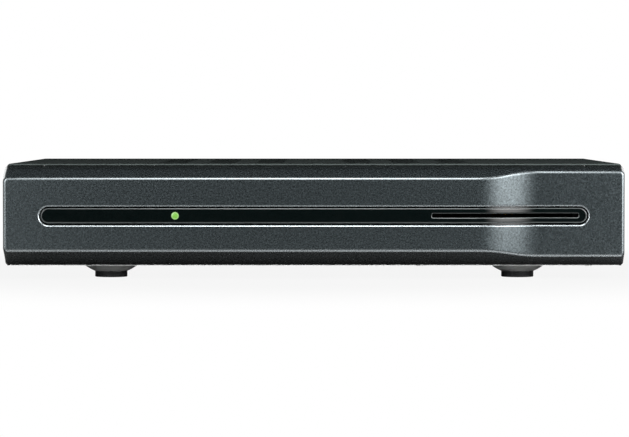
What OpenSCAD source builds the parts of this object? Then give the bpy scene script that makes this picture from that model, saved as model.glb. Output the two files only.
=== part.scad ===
// Slim cable television receiver.
// A folded steel case carries a moulded front whose face steps back in an S-curve,
// a dark lens bar with a status light and a card slot, and the boards and sockets inside.
// Millimetres, +Z up, front towards -Y, origin on the standing surface under the middle.

/* [Case] */
// Width over the cover's side walls
case_w = 258; // [250:1:300]
// Depth of the cover, front edge to rear face
case_d = 180; // [172:1:230]
// Height from the underside of the base to the top of the cover
case_h = 42.8; // [41:0.1:60]
// Thickness of the sheet steel
sheet_t = 0.8; // [0.6:0.1:1.2]
// Outer radius of the cover's long folds
fold_r = 1.5; // [1.5:0.1:4]
// Assembly gap between neighbouring parts
fit_gap = 0.3; // [0.2:0.05:0.4]
// Height of the folded-up edges of the base
tray_edge = 11; // [9:0.5:13]
// Height of the cover's folded-down rear lip
cover_lip = 7; // [6:0.5:8]
// Depth of the rear panel's foot on the base
panel_foot = 9; // [8:0.5:12]

/* [Vents] */
// Length of a vent slot across the case
vent_len = 12; // [8:0.5:16]
// Width of a vent slot
vent_w = 2.6; // [1.5:0.1:4]
// Distance from one slot to the next along a column
vent_pitch = 7.2; // [6:0.1:7.6]
// Slots in a column
vent_rows = 20; // [8:1:20]
// Columns on each side of the middle
vent_cols = 3; // [1:1:4]
// Distance from one column to the next
vent_col_pitch = 20.6; // [18:0.1:24]
// Distance between the two innermost columns
vent_middle = 37.6; // [24:0.1:50]
// Length of an air slot in the base
intake_len = 26; // [16:1:32]
// Air slots in a row in the base
intake_rows = 8; // [3:1:9]

/* [Feet] */
// Diameter of a rubber foot
foot_d = 13.7; // [11:0.1:15]
// Height of a rubber foot below its dish
foot_h = 2.5; // [2:0.1:5]
// Diameter of a pressed dish where it leaves the base
dish_d = 23.8; // [21:0.1:26]
// Diameter of the dish's flat floor
dish_floor_d = 14; // [13.4:0.1:16]
// Depth of the dish below the base
dish_drop = 3; // [2:0.1:4]
// Distance of a foot's middle from the case's side
foot_in = 42.6; // [39:0.1:45]
// Distance of the front feet behind the cover's front edge
foot_front = 18; // [16:0.5:24]
// Distance of the rear feet ahead of the cover's rear face
foot_rear = 22; // [18:0.5:26]
// Diameter of the stem that pushes through the dish
stem_d = 4.8; // [4:0.1:6]

/* [Front moulding] */
// How far the moulding stands out past each side of the cover
front_proud = 1; // [0.5:0.1:2]
// Depth of the moulding ahead of the cover on the left
front_run = 12; // [11:0.1:16]
// Thickness of the front wall
front_wall = 2.2; // [1.6:0.1:2.6]
// Edge radius between the face and the sides
front_edge_r = 1.6; // [1:0.1:3]
// How far the right section of the face sits back
step_d = 5; // [3:0.1:6]
// Where the S-curve starts, left of the case's right side
step_in = 58.3; // [49:0.1:69]
// Length of the S-curve across the face
step_len = 22.3; // [16:0.1:26]
// Drop of the top slope at the left face
top_drop = 5; // [4:0.1:7]
// Bulge of the top slope, none at 0
top_crown = 0.23; // [0:0.01:0.5]
// Rise of the bottom slope at the left face
bottom_rise = 6.3; // [4:0.1:7]
// Height of the moulding's bottom edge above the base's underside
bottom_gap = 0.1; // [0.1:0.1:1]
// How far the moulding's top lies below the cover's where they meet
seam_step = 1; // [0.2:0.1:1.2]
// Depth of the lip that locates inside the cover
lip_d = 4; // [3:0.1:6]
// Thickness of that lip
lip_t = 1.5; // [1.2:0.1:2]
// Width of a snap hook
hook_w = 9; // [6:0.5:14]
// Height of a snap hook's barb
barb_h = 1.4; // [1:0.1:2]
// Length of a snap hook's barb
barb_len = 1.5; // [1:0.1:3]
// Radius of the moulding's bottom corners
bezel_low_r = 1.5; // [0.5:0.1:3]

/* [Lens bar] */
// Bare face past each end of the lens bar
bar_end = 15.25; // [14:0.25:22.5]
// Height of the lens bar
bar_h = 6.3; // [5:0.1:8]
// Height of the bar's middle above the base's underside
bar_up = 21.2; // [20:0.1:23]
// Gap all round between the bar and the groove in the face
bar_moat = 0.8; // [0.4:0.1:1.2]
// How far the bar's flange reaches past the groove, behind the face
flange_over = 3; // [2:0.1:4]
// Thickness of that flange
flange_t = 1.5; // [1:0.1:2]
// Thickness of the glue under the flange
glue_t = 0.1; // [0.05:0.01:0.2]
// Diameter of the status light
light_d = 3.3; // [2.5:0.1:4]
// Distance of the status light from the bar's left end
light_in = 56.75; // [44:0.25:70]
// Thickness of the light pipe's collar
collar_t = 1; // [0.8:0.1:1.5]
// Width of that collar around the pipe
collar_w = 1; // [0.6:0.1:1.4]
// Length of the status LED
led_len = 5.2; // [4.5:0.1:6]

/* [Card slot and reader] */
// Width of the slot in the lens bar
slot_w = 62; // [58:0.5:64]
// Height of the slot
slot_h = 1.7; // [1.4:0.1:2.2]
// Rebate around the slot's mouth
slot_rim = 0.3; // [0.2:0.05:0.5]
// Distance of the slot from the bar's right end
slot_end = 2.85; // [1.7:0.05:4.8]
// Width of the card
card_w = 54; // [53.5:0.1:55]
// Thickness of the card
card_t = 0.76; // [0.7:0.01:0.9]
// Room above, below and beside the card
card_room = 0.35; // [0.3:0.01:0.4]
// Depth of the reader
reader_d = 58; // [50:0.5:60]
// Width of the reader's side rails
rail_w = 4.6; // [4:0.1:5]
// Thickness of the reader's tray below the card
tray_t = 4.4; // [3.6:0.1:5]
// Thickness of the reader's lid
lid_t = 3; // [2.4:0.1:4]
// Wall at the back of the card channel
stop_wall = 3; // [2:0.1:4]
// Width of the contact block
block_w = 14; // [13:0.1:16]
// Depth of the contact block
block_d = 12; // [11.5:0.1:14]
// Width of the card switch
switch_w = 9; // [8:0.1:11]
// Height of the card switch
switch_h = 6; // [5.2:0.1:7]
// Width of the switch plunger
plunger_w = 3; // [2:0.1:4]
// Thickness of the switch plunger
plunger_t = 1; // [0.8:0.05:1.1]
// Travel of the switch plunger
plunger_travel = 1.2; // [0.8:0.1:1.6]
// Thickness of the reader's bracket
bracket_t = 1; // [0.8:0.1:1.5]
// Width of the bracket's feet
bracket_foot = 8; // [7:0.5:10]

/* [Boards and screws] */
// Thickness of the circuit boards
pcb_t = 1.6; // [1.2:0.1:2]
// Height of the board standoffs
standoff_h = 6; // [5:0.1:7]
// Diameter of a standoff
standoff_d = 5.5; // [5:0.1:7]
// Distance of board holes from the board's edge
hole_edge = 4; // [3.5:0.1:5]
// Free edge between a board and the case wall
board_gap = 2.5; // [2:0.1:4]
// Gap between the supply board and the main board
board_split = 6; // [4:0.5:10]
// Thread diameter of the screws
screw_d = 3; // [2.5:0.1:3.2]
// Head diameter of the screws
head_d = 5.4; // [4.8:0.1:6]
// Head height of the screws
head_h = 1.9; // [1.5:0.1:2.4]
// Length of a screw under its head
screw_len = 6; // [5:0.1:6.5]
// Width of the front board
front_board_w = 62; // [56:1:70]

/* [Sockets] */
// Width of the tuner can
tuner_w = 30; // [28:0.5:34]
// Depth of the tuner can
tuner_d = 50; // [40:0.5:56]
// Height of the tuner can
tuner_h = 14; // [13.4:0.1:18]
// Outer diameter of the coaxial sockets
rf_d = 9.5; // [9:0.05:10]
// How far the coaxial sockets stand out behind the case
rf_out = 9.5; // [9:0.1:12]
// Wall of a coaxial socket
rf_wall = 0.8; // [0.6:0.05:1]
// Collar around a coaxial socket where it meets the panel
rf_collar = 1.2; // [0.8:0.1:1.6]
// Distance between the two coaxial sockets
rf_pitch = 15.5; // [15:0.1:17]
// Width of a SCART socket's body
scart_w = 52; // [50:0.5:53]
// Depth of a SCART socket's body
scart_d = 14; // [10:0.5:18]
// Height of a SCART socket's body
scart_h = 21; // [19.5:0.1:24]
// Rim of a SCART socket's body beside its nose
nose_side = 3; // [2.5:0.1:4]
// Rim of a SCART socket's body above and below its nose
nose_edge = 2; // [1.5:0.1:3]
// How far a SCART nose stands out behind the case
nose_out = 2; // [1:0.1:4]
// Gap between neighbouring sockets
socket_gap = 4; // [3:0.1:5]
// Width of the audio socket's body
jack_w = 12; // [11:0.1:13]
// Barrel diameter of the audio socket
jack_d = 8.3; // [8:0.05:8.6]
// How far the audio socket stands out behind the case
jack_out = 8.5; // [7:0.1:9]

/* [Main board parts] */
// Width of the main processor
chip_w = 27; // [23:0.5:30]
// Thickness of the main processor
chip_t = 2.4; // [1.8:0.1:3]
// Width of the processor's heat sink
sink_w = 34; // [31:0.5:38]
// Height of the processor's heat sink
sink_h = 12; // [8:0.5:16]
// Fins on the processor's heat sink
sink_fins = 8; // [4:1:10]
// Length of a memory chip
memory_l = 18; // [16:0.5:20]
// Width of a memory chip
memory_w = 10; // [8:0.5:11]
// Thickness of a memory chip
memory_t = 1.2; // [1:0.1:1.6]
// Diameter of a board capacitor
cap_d = 8; // [6.5:0.1:9]
// Height of a board capacitor
cap_h = 12; // [9:0.5:16]

/* [Power supply] */
// Width of the supply board
supply_w = 56; // [54:0.5:60]
// Depth of the supply board
supply_d = 96; // [92:0.5:104]
// Room behind the supply board for the mains inlet and switch
inlet_room = 34; // [32:0.5:38]
// Width of the transformer's core
core_w = 26; // [24:0.5:28]
// Depth of the transformer's core
core_d = 20; // [17:0.5:22]
// Height of the transformer
core_h = 22; // [18:0.5:25]
// Diameter of the bulk capacitor
bulk_d = 18; // [15:0.5:20]
// Height of the bulk capacitor
bulk_h = 25; // [18:0.5:26]
// Width of the mains choke
choke_w = 18; // [15:0.5:20]
// Height of the mains choke
choke_h = 17; // [14:0.5:20]
// Length of the fuse
fuse_len = 20; // [18:0.5:22]
// Diameter of the fuse
fuse_d = 5.2; // [4.6:0.1:6]
// Length of the supply's heat sink
plate_l = 30; // [24:0.5:31]
// Height of the supply's heat sink
plate_h = 24; // [18:0.5:26]
// Thickness of the supply's heat sink
plate_t = 2; // [1.5:0.1:2.4]
// Diameter of an output capacitor
out_cap_d = 10; // [8:0.5:11]
// Height of an output capacitor
out_cap_h = 18; // [14:0.5:22]

/* [Mains inlet and switch] */
// Distance of the inlet's middle from the supply board's left edge
inlet_in = 16.8; // [15:0.1:18]
// Width of the inlet's mouth
inlet_w = 18.4; // [17:0.1:19]
// Height of the inlet's mouth
inlet_h = 9.6; // [9:0.1:10.5]
// Depth of the inlet's mouth
inlet_d = 12; // [11:0.1:14]
// Wall around the inlet's mouth
inlet_wall = 1.6; // [1.2:0.1:2]
// Distance between the inlet's pins
pin_pitch = 8.6; // [8.2:0.1:9]
// Diameter of the inlet's pins
pin_d = 2.4; // [2:0.1:2.6]
// Distance of the rocker's middle from the supply board's left edge
rocker_in = 43.7; // [42:0.1:46]
// Width of the rocker
rocker_w = 10; // [8:0.1:11]
// Height of the rocker
rocker_h = 16.8; // [15:0.1:18]
// Tilt of the rocker to either side
rocker_tilt = 9; // [6:0.5:10]
// How far the rocker's ends stand out of its frame
rocker_lift = 1.6; // [1:0.1:2.4]
// Diameter of the rocker's pivot
pivot_d = 2.4; // [2:0.1:3]
// Thickness of the flange around the inlet and the switch
plate_flange_t = 1.8; // [1.4:0.1:2.4]
// Width of that flange
plate_flange_w = 2.2; // [1.8:0.1:3]

/* [Hidden] */
$fn = 48;

// Segments in a small fold or corner, and in half of the S-curve
arc_steps = 5;
step_steps = 14;
slope_steps = 5;
// Overshoot of a cut past the face that it opens
cut = 1;

// Heights
z_base = foot_h + dish_drop;
z_floor = z_base + sheet_t;
z_top = z_base + case_h;
z_seam = z_top - seam_step;
z_bar = z_base + bar_up;
z_board = z_floor + standoff_h;
z_parts = z_board + pcb_t;

// Depths, from the face back to the rear
total_d = front_run + case_d + max(rf_out, jack_out);
y_front = -total_d / 2;
y_cover = y_front + front_run;
y_back = y_cover + case_d;
y_panel = y_back - sheet_t;
y_inside = y_panel - sheet_t;
y_flange = y_cover + lip_d + fit_gap;

// Widths
front_w = case_w + 2 * front_proud;
bar_len = front_w - 2 * bar_end;
step_x = case_w / 2 - step_in;
light_x = light_in - bar_len / 2;
slot_x = bar_len / 2 - slot_end - slot_w / 2;
foot_x = case_w / 2 - foot_in;
tray_w = case_w - 2 * (sheet_t + fit_gap);
clear_x = tray_w / 2 - sheet_t;
lip_in = sheet_t + fit_gap + lip_t;

// Lens bar and what stands behind it
groove_len = bar_len + 2 * bar_moat;
groove_h = bar_h + 2 * bar_moat;
flange_len = groove_len + 2 * flange_over;
flange_h = groove_h + 2 * flange_over;
bar_depth = front_wall + glue_t + flange_t;
y_front_board = y_front + bar_depth + collar_t + fit_gap + led_len;
boss_wall = 1;
boss_d = screw_d + 2 * boss_wall;
boss_z = flange_h / 2 + boss_d / 2 + fit_gap;
front_board_h = 2 * (boss_z + head_d / 2 + fit_gap);
front_board_x = light_x + front_board_w / 4;
boss_x = front_board_w / 2 - hole_edge;

// Card reader
channel_w = card_w + 2 * card_room;
channel_h = card_t + 2 * card_room;
reader_w = channel_w + 2 * rail_w;
y_mouth = y_front + step_d + bar_depth + fit_gap;
y_reader = y_mouth + reader_d;
y_stop = y_reader - stop_wall;
z_tray = z_bar - channel_h / 2 - tray_t;
switch_x = slot_x - channel_w / 4;
switch_wall = 1.2;
head_t = 2;
plunger_reach = 2;
plunger_ledge = 1;
plunger_head_w = plunger_w + 2 * plunger_ledge;
plunger_head_t = plunger_t + plunger_ledge;
y_head = y_reader + switch_wall + fit_gap;
cavity_d = head_t + plunger_travel + 2 * fit_gap;
switch_d = cavity_d + 2 * switch_wall;
hook_reach = 2 * fit_gap + barb_len;
y_bracket = y_flange + sheet_t + 2 * hook_reach;
bracket_d = y_reader - y_bracket;

// Boards
supply_x = -clear_x + board_gap;
y_supply = y_inside - inlet_room - supply_d;
main_x0 = supply_x + supply_w + board_split;
main_x1 = clear_x - board_gap;
main_y0 = y_reader + switch_d + board_split;
main_y1 = y_inside - fit_gap;
main_w = main_x1 - main_x0;
main_d = main_y1 - main_y0;
main_rear_hole = max(scart_d, panel_foot) + standoff_d + hole_edge;
main_holes = [for (x = [main_x0 + hole_edge, (main_x0 + main_x1) / 2, main_x1 - hole_edge],
                   y = [main_y0 + hole_edge, main_y1 - main_rear_hole]) [x, y]];
supply_holes = [for (x = [supply_x + hole_edge, supply_x + supply_w - hole_edge],
                     y = [y_supply + hole_edge, y_supply + supply_d - hole_edge]) [x, y]];
tuner_x = main_x1 - 2 * hole_edge - tuner_w / 2;
tv_x = tuner_x - tuner_w / 2 - socket_gap - scart_w / 2;
vcr_x = tv_x - scart_w - socket_gap;
jack_x = vcr_x - scart_w / 2 - socket_gap - jack_w / 2;
panel_room = 0.8;
jack_rise = 2;
jack_h = jack_w + jack_rise;
nose_w = scart_w - 2 * nose_side;
nose_h = scart_h - 2 * nose_edge;

// Cable sockets on the boards
plug_w = 12;
plug_d = 5;
plug_h = 6;

// Mains inlet and switch on the rear panel, in line with the supply board
inlet_x = supply_x + inlet_in;
rocker_x = supply_x + rocker_in;
z_mains = z_base + case_h / 2;
inlet_out_w = inlet_w + 2 * inlet_wall;
inlet_out_h = inlet_h + 2 * inlet_wall;
inlet_floor = 3;
inlet_body = inlet_d + inlet_floor - plate_flange_t;
rocker_rise = plate_flange_t + rocker_lift;
rocker_room = rocker_h / 2 * cos(rocker_tilt) + rocker_rise * sin(rocker_tilt) + fit_gap;
switch_in_w = rocker_w + 2 * fit_gap;
switch_out_w = switch_in_w + 2 * switch_wall;
switch_out_h = 2 * (rocker_room + switch_wall);
switch_body = 15;
pivot_in = 0.5;
y_pivot = y_panel - pivot_in;
pivot_play = 0.08;

// Screw positions
cover_screw_x = [-case_w / 3, 0, case_w / 3];
cover_screw_z = z_top - sheet_t - cover_lip / 2;
base_screw_x = [supply_x + supply_w / 2, (main_x0 * 3 + main_x1) / 4, (main_x0 + main_x1 * 3) / 4];
base_screw_y = y_inside - panel_foot / 2;
bracket_screw_x = [for (s = [-1, 1]) slot_x + s * (reader_w / 2 + bracket_foot / 2)];
bracket_screw_y = [y_bracket + bracket_d / 4, y_bracket + bracket_d * 3 / 4];
short_screw = 3.5;
thread_play = 0.1;
pilot_d = screw_d + thread_play;
clear_d = screw_d + 2 * fit_gap;
reader_screw_d = 1.8;
reader_head_d = 3.6;
reader_screw_x = [for (s = [-1, 1]) slot_x + s * (reader_w - rail_w) / 2];
reader_screw_y = [y_bracket + rail_w, y_reader - rail_w];

// Points of an arc about [cx, cy]
function arc(cx, cy, r, a0, a1) =
    [for (i = [0:arc_steps]) let (a = a0 + (a1 - a0) * i / arc_steps) [cx + r * cos(a), cy + r * sin(a)]];

// Slot outline with round ends
function obround(len, h) =
    concat(arc(len / 2 - h / 2, 0, h / 2, -90, 90), arc(h / 2 - len / 2, 0, h / 2, 90, 270));

// Rectangle with round corners, its own radius at the top and at the bottom
function round_box(x0, z0, x1, z1, r_low, r_high) =
    concat(arc(x1 - r_high, z1 - r_high, r_high, 0, 90), arc(x0 + r_high, z1 - r_high, r_high, 90, 180),
           arc(x0 + r_low, z0 + r_low, r_low, 180, 270), arc(x1 - r_low, z0 + r_low, r_low, 270, 360));

// How far the face has stepped back at x, two equal arcs that meet half-way
step_r = (step_len * step_len + step_d * step_d) / (4 * step_d);
function quarter(x) = step_r - sqrt(step_r * step_r - x * x);
function step_back(x) =
    x <= step_x ? 0 :
    x >= step_x + step_len ? step_d :
    x <= step_x + step_len / 2 ? quarter(x - step_x) : step_d - quarter(step_x + step_len - x);

// The S-curve of the face, moved back by d
function s_curve(d) =
    [for (i = [0:step_steps]) let (x = step_x + step_len * i / step_steps) [x, y_front + d + step_back(x)]];

// Plan of the moulding, its front wall d back and its sides e in, open behind at y_end
function front_plan(d, e, r, y_end) = let (x = front_w / 2 - e) concat(
    arc(r - x, y_front + d + r, r, 180, 270), s_curve(d),
    arc(x - r, y_front + step_d + d + r, r, 270, 360), [[x, y_end], [-x, y_end]]);

// Height of the top and bottom slopes, t = 0 at the cover and 1 at the left face
function top_slope(t) = z_seam - top_drop * t * (1 - top_crown * (1 - t));
function bottom_slope(t) = z_base + bottom_gap + bottom_rise * t;

// Side profile of the moulding, drawn in by top_in and bottom_in, run on past the face
slope_end = 1.2;
function front_profile(top_in, bottom_in, y_end) = concat(
    [[y_end, z_base + bottom_gap + bottom_in], [y_end, z_seam - top_in]],
    [for (i = [0:slope_steps]) let (t = slope_end * i / slope_steps)
        [y_cover - t * front_run, top_slope(t) - top_in]],
    [[y_cover - slope_end * front_run, bottom_slope(slope_end) + bottom_in],
     [y_cover, z_base + bottom_gap + bottom_in]]);

// A strip of the face's plan between d0 and d1 behind it
function face_strip(d0, d1) = let (x = front_w / 2, b = s_curve(d1)) concat(
    [[-x, y_front + d0]], s_curve(d0), [[x, y_front + step_d + d0], [x, y_front + step_d + d1]],
    [for (i = [step_steps:-1:0]) b[i]], [[-x, y_front + d1]]);

// Extrudes a Y-Z outline along X, and an X-Z outline along Y
module along_x(x0, x1) translate([x0, 0, 0]) rotate([90, 0, 90]) linear_extrude(x1 - x0) children();
module along_y(y0, y1) translate([0, y1, 0]) rotate([90, 0, 0]) linear_extrude(y1 - y0) children();

// Box between two corners
module block(a, b) translate(a) cube(b - a);

// Round bar from a point towards +Y, and towards +Z
module rod_y(p, d, len) translate(p) rotate([-90, 0, 0]) cylinder(d = d, h = len);
module rod_z(p, d, len) translate(p) cylinder(d = d, h = len);

// Pan-head screw with a cross recess, head up, seated at z = 0
head_flat = 0.72;
recess_span = 0.55;
recess_arm = 0.14;
module screw(len, d = screw_d, head = head_d) difference() {
    union() {
        rotate_extrude() polygon([[0, 0], [head / 2, 0], [head / 2, head_h / 2],
                                  [head / 2 * head_flat, head_h], [0, head_h]]);
        rod_z([0, 0, -len], d, len + head_h / 2);
    }
    for (a = [0, 90]) rotate(a) translate([0, 0, head_h])
        cube([head * recess_span, head * recess_arm, head_h], center = true);
}

// Wire paths as pairs of a point and a direction.
// A drop leaves a level and lands straight down at b, an arch rises from a and lands at b.
wire_sides = 8;
wire_rings = 12;
function level(p) = [p[0], p[1], 0];
function wire_drop(a, b) = [for (i = [0:wire_rings]) let (q = 90 * i / wire_rings)
    [a + level(b - a) * sin(q) + [0, 0, (b[2] - a[2]) * (1 - cos(q))],
     level(b - a) * cos(q) + [0, 0, (b[2] - a[2]) * sin(q)]]];
function wire_arch(a, b, rise) = [for (i = [0:wire_rings]) let (q = 180 * i / wire_rings)
    [a + (b - a) * (1 - cos(q)) / 2 + [0, 0, rise * sin(q)], (b - a) / 2 * sin(q) + [0, 0, rise * cos(q)]]];

// Tube swept along a path that stays in one upright plane
module wire(path, d) {
    way = level(path[wire_rings][0] - path[0][0]);
    side = cross(way, [0, 0, 1]) / norm(way);
    ring = [for (s = path) let (up = cross(side, s[1] / norm(s[1])))
        for (k = [0:wire_sides - 1]) let (q = 360 * k / wire_sides)
            s[0] + d / 2 * (side * cos(q) + up * sin(q))];
    walls = [for (i = [0:wire_rings - 1], k = [0:wire_sides - 1])
        let (p = i * wire_sides + k, q = i * wire_sides + (k + 1) % wire_sides)
        each [[p, p + wire_sides, q], [q, p + wire_sides, q + wire_sides]]];
    last = wire_rings * wire_sides;
    ends = [for (k = [1:wire_sides - 2]) each [[0, k, k + 1], [last, last + k + 1, last + k]]];
    polyhedron(ring, concat(walls, ends));
}

// Case

// Side of a pressed dish, part of a ball; z = 0 at the base's underside
dish_middle = ((dish_d ^ 2 - dish_floor_d ^ 2) / 4 - dish_drop ^ 2) / (2 * dish_drop);
dish_ball_r = sqrt(dish_d ^ 2 / 4 + dish_middle ^ 2);
function dish_side(lift) = [for (i = [0:arc_steps]) let (z = dish_drop * (i / arc_steps - 1))
    [sqrt(dish_ball_r ^ 2 - (dish_middle - z) ^ 2), lift + z]];
module dish(lift, head) rotate_extrude() polygon(concat(
    [[0, lift - dish_drop]], dish_side(lift), [[dish_d / 2, lift + head], [0, lift + head]]));

// Where the four feet stand
foot_front_y = y_cover + foot_front;
foot_rear_y = y_back - foot_rear;
module at_feet() for (x = [-foot_x, foot_x], y = [foot_front_y, foot_rear_y])
    translate([x, y, z_base]) children();

hook_x = [-front_w / 3, -front_w / 20, front_w / 6];
window_h = 3 * fit_gap + lip_t + barb_h;
intake_x = (main_x0 + main_x1) / 2 - intake_len;
intake_y = main_y0 + main_d / 4;

module base_tray() color("dimgray") difference() {
    union() {
        block([-tray_w / 2, y_cover, z_base], [tray_w / 2, y_panel, z_floor]);
        block([-tray_w / 2, y_flange, z_base], [tray_w / 2, y_flange + sheet_t, z_base + tray_edge]);
        for (x = [-tray_w / 2, tray_w / 2 - sheet_t])
            block([x, y_flange, z_base], [x + sheet_t, y_inside - fit_gap, z_base + tray_edge]);
        at_feet() dish(0, sheet_t / 2);
    }
    at_feet() dish(sheet_t, cut);
    at_feet() rod_z([0, 0, -dish_drop - cut], stem_d + 2 * fit_gap, dish_drop + cut);
    for (x = hook_x) block([x - hook_w / 2 - fit_gap, y_flange - cut, z_floor],
                           [x + hook_w / 2 + fit_gap, y_flange + sheet_t + cut, z_floor + window_h]);
    for (i = [0:intake_rows - 1])
        translate([intake_x, intake_y + i * vent_pitch, z_base - cut])
            linear_extrude(sheet_t + 2 * cut) polygon(obround(intake_len, vent_w));
    for (x = base_screw_x) rod_z([x, base_screw_y, z_base - cut], clear_d, sheet_t + 2 * cut);
    for (x = bracket_screw_x, y = bracket_screw_y)
        rod_z([x, y, z_base - cut], pilot_d, sheet_t + 2 * cut);
}

// Cover section: two side walls and the top with round folds
function cover_section(t) = let (x = case_w / 2 - t, r = fold_r - t) concat(
    [[x, z_base]], arc(x - r, z_top - t - r, r, 0, 90),
    arc(r - x, z_top - t - r, r, 90, 180), [[-x, z_base]]);

vent_y = y_cover + case_d / 2 - vent_pitch * (vent_rows - 1) / 2;
module top_cover() color("black") difference() {
    union() {
        along_y(y_cover, y_back) polygon(concat(cover_section(0),
            [for (i = [2 * arc_steps + 3:-1:0]) cover_section(sheet_t)[i]]));
        block([fold_r - case_w / 2, y_panel, z_top - sheet_t - cover_lip],
              [case_w / 2 - fold_r, y_back, z_top - sheet_t / 2]);
    }
    for (s = [-1, 1], c = [0:vent_cols - 1], i = [0:vent_rows - 1])
        translate([s * (vent_middle / 2 + c * vent_col_pitch), vent_y + i * vent_pitch,
                   z_top - sheet_t - cut])
            linear_extrude(sheet_t + 2 * cut) polygon(obround(vent_len, vent_w));
    for (x = cover_screw_x) rod_y([x, y_panel - cut, cover_screw_z], clear_d, sheet_t + 2 * cut);
}

// Outline of a SCART nose: one end square, the other slanted
function scart_nose(x, grow) =
    let (w = nose_w / 2 + grow, h = nose_h / 2 + grow, z = z_parts + scart_h / 2, s = nose_h / 3)
    [[x - w, z - h], [x + w - s, z - h], [x + w, z - h + s],
     [x + w, z + h], [x - w + s, z + h], [x - w, z + h - s]];

rf_hole = rf_d + 2 * rf_collar + 2 * panel_room;
jack_hole = jack_d + 2 * panel_room;
z_rf = z_parts + tuner_h / 2;
z_jack = z_parts + jack_h / 2;
module rear_panel() color("silver") difference() {
    union() {
        along_y(y_inside, y_panel) polygon(round_box(
            -tray_w / 2, z_floor, tray_w / 2, z_top - sheet_t - fit_gap, sheet_t, fold_r));
        block([-clear_x + fit_gap, y_inside - panel_foot, z_floor],
              [clear_x - fit_gap, y_panel, z_floor + sheet_t]);
    }
    for (s = [-1, 1]) rod_y([tuner_x + s * rf_pitch / 2, y_inside - cut, z_rf], rf_hole, sheet_t + 2 * cut);
    rod_y([jack_x, y_inside - cut, z_jack], jack_hole, sheet_t + 2 * cut);
    for (x = [tv_x, vcr_x]) along_y(y_inside - cut, y_panel + cut) polygon(scart_nose(x, fit_gap));
    block([inlet_x - inlet_out_w / 2 - fit_gap, y_inside - cut, z_mains - inlet_out_h / 2 - fit_gap],
          [inlet_x + inlet_out_w / 2 + fit_gap, y_panel + cut, z_mains + inlet_out_h / 2 + fit_gap]);
    block([rocker_x - switch_out_w / 2 - fit_gap, y_inside - cut, z_mains - switch_out_h / 2 - fit_gap],
          [rocker_x + switch_out_w / 2 + fit_gap, y_panel + cut, z_mains + switch_out_h / 2 + fit_gap]);
    for (x = cover_screw_x) rod_y([x, y_inside - cut, cover_screw_z], pilot_d, sheet_t + 2 * cut);
    for (x = base_screw_x) rod_z([x, base_screw_y, z_floor - cut], pilot_d, sheet_t + 2 * cut);
}

// Moulded front: plan, side profile and front outline cut from one block, then hollowed
module front_form(d, side_in, top_in, bottom_in, edge_r, y_end) intersection() {
    translate([0, 0, z_base - cut]) linear_extrude(case_h + 2 * cut)
        polygon(front_plan(d, side_in, edge_r, y_end));
    along_x(-front_w, front_w) polygon(front_profile(top_in, bottom_in, y_end));
    along_y(y_front - cut, y_end) polygon(round_box(
        side_in - front_w / 2, z_base + bottom_gap + bottom_in, front_w / 2 - side_in, z_seam - top_in,
        bezel_low_r, fold_r));
}

module front_bezel() color("darkslategray") {
    side_in = front_proud + lip_in;
    y_end = y_cover + lip_d;
    difference() {
        union() {
            front_form(0, 0, 0, 0, front_edge_r, y_cover);
            along_y(y_cover - cut, y_end) polygon(round_box(
                -tray_w / 2, z_floor + fit_gap, tray_w / 2, z_top - sheet_t - fit_gap,
                bezel_low_r, fold_r));
        }
        front_form(front_wall, side_in, lip_in, lip_in - bottom_gap, front_edge_r, y_end + cut);
        along_y(y_front - cut, y_cover - cut) translate([0, z_bar])
            polygon(obround(groove_len, groove_h));
    }
    for (x = hook_x) {
        z = z_floor + fit_gap;
        block([x - hook_w / 2, y_end - cut, z],
              [x + hook_w / 2, y_flange + sheet_t + hook_reach, z + lip_t]);
        block([x - hook_w / 2, y_flange + sheet_t + 2 * fit_gap, z],
              [x + hook_w / 2, y_flange + sheet_t + hook_reach, z + lip_t + barb_h]);
    }
    for (s = [-1, 1], u = [-1, 1]) difference() {
        rod_y([front_board_x + s * boss_x, y_front + front_wall / 2, z_bar + u * boss_z], boss_d,
              y_front_board - y_front - front_wall / 2);
        rod_y([front_board_x + s * boss_x, y_front + front_wall + fit_gap, z_bar + u * boss_z], pilot_d,
              y_front_board - y_front);
    }
}

module lens_bar() color("black") difference() {
    intersection() {
        translate([0, 0, z_base]) linear_extrude(case_h) polygon(face_strip(0, bar_depth));
        union() {
            along_y(y_front - cut, y_cover) translate([0, z_bar]) polygon(obround(bar_len, bar_h));
            intersection() {
                along_y(y_front - cut, y_cover) translate([0, z_bar])
                    polygon(obround(flange_len, flange_h));
                translate([0, 0, z_base]) linear_extrude(case_h)
                    polygon(face_strip(front_wall + glue_t, bar_depth + cut));
            }
        }
    }
    block([slot_x - slot_w / 2, y_front - cut, z_bar - slot_h / 2],
          [slot_x + slot_w / 2, y_cover, z_bar + slot_h / 2]);
    intersection() {
        translate([0, 0, z_base]) linear_extrude(case_h) polygon(face_strip(-cut, slot_rim));
        block([slot_x - slot_w / 2 - slot_rim, y_front - cut, z_bar - slot_h / 2 - slot_rim],
              [slot_x + slot_w / 2 + slot_rim, y_cover, z_bar + slot_h / 2 + slot_rim]);
    }
    rod_y([light_x, y_front - cut, z_bar], light_d + 2 * glue_t, bar_depth + 2 * cut);
}

module light_pipe() color("lime") {
    rod_y([light_x, y_front, z_bar], light_d, bar_depth + collar_t);
    rod_y([light_x, y_front + bar_depth, z_bar], light_d + 2 * collar_w, collar_t);
}

// Rubber foot: a chamfered disc whose stem pushes through the dish and locks with a head
module foot(x, y) color("black") translate([x, y, 0]) rotate_extrude() polygon([
    [0, 0], [foot_d / 2 - foot_h / 4, 0], [foot_d / 2, foot_h / 4], [foot_d / 2, foot_h],
    [stem_d / 2, foot_h], [stem_d / 2, foot_h + sheet_t], [stem_d / 2 + sheet_t, foot_h + sheet_t],
    [stem_d / 2 - sheet_t / 2, foot_h + sheet_t + dish_drop / 2], [0, foot_h + sheet_t + dish_drop / 2]]);

// Main board and its sockets

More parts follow.
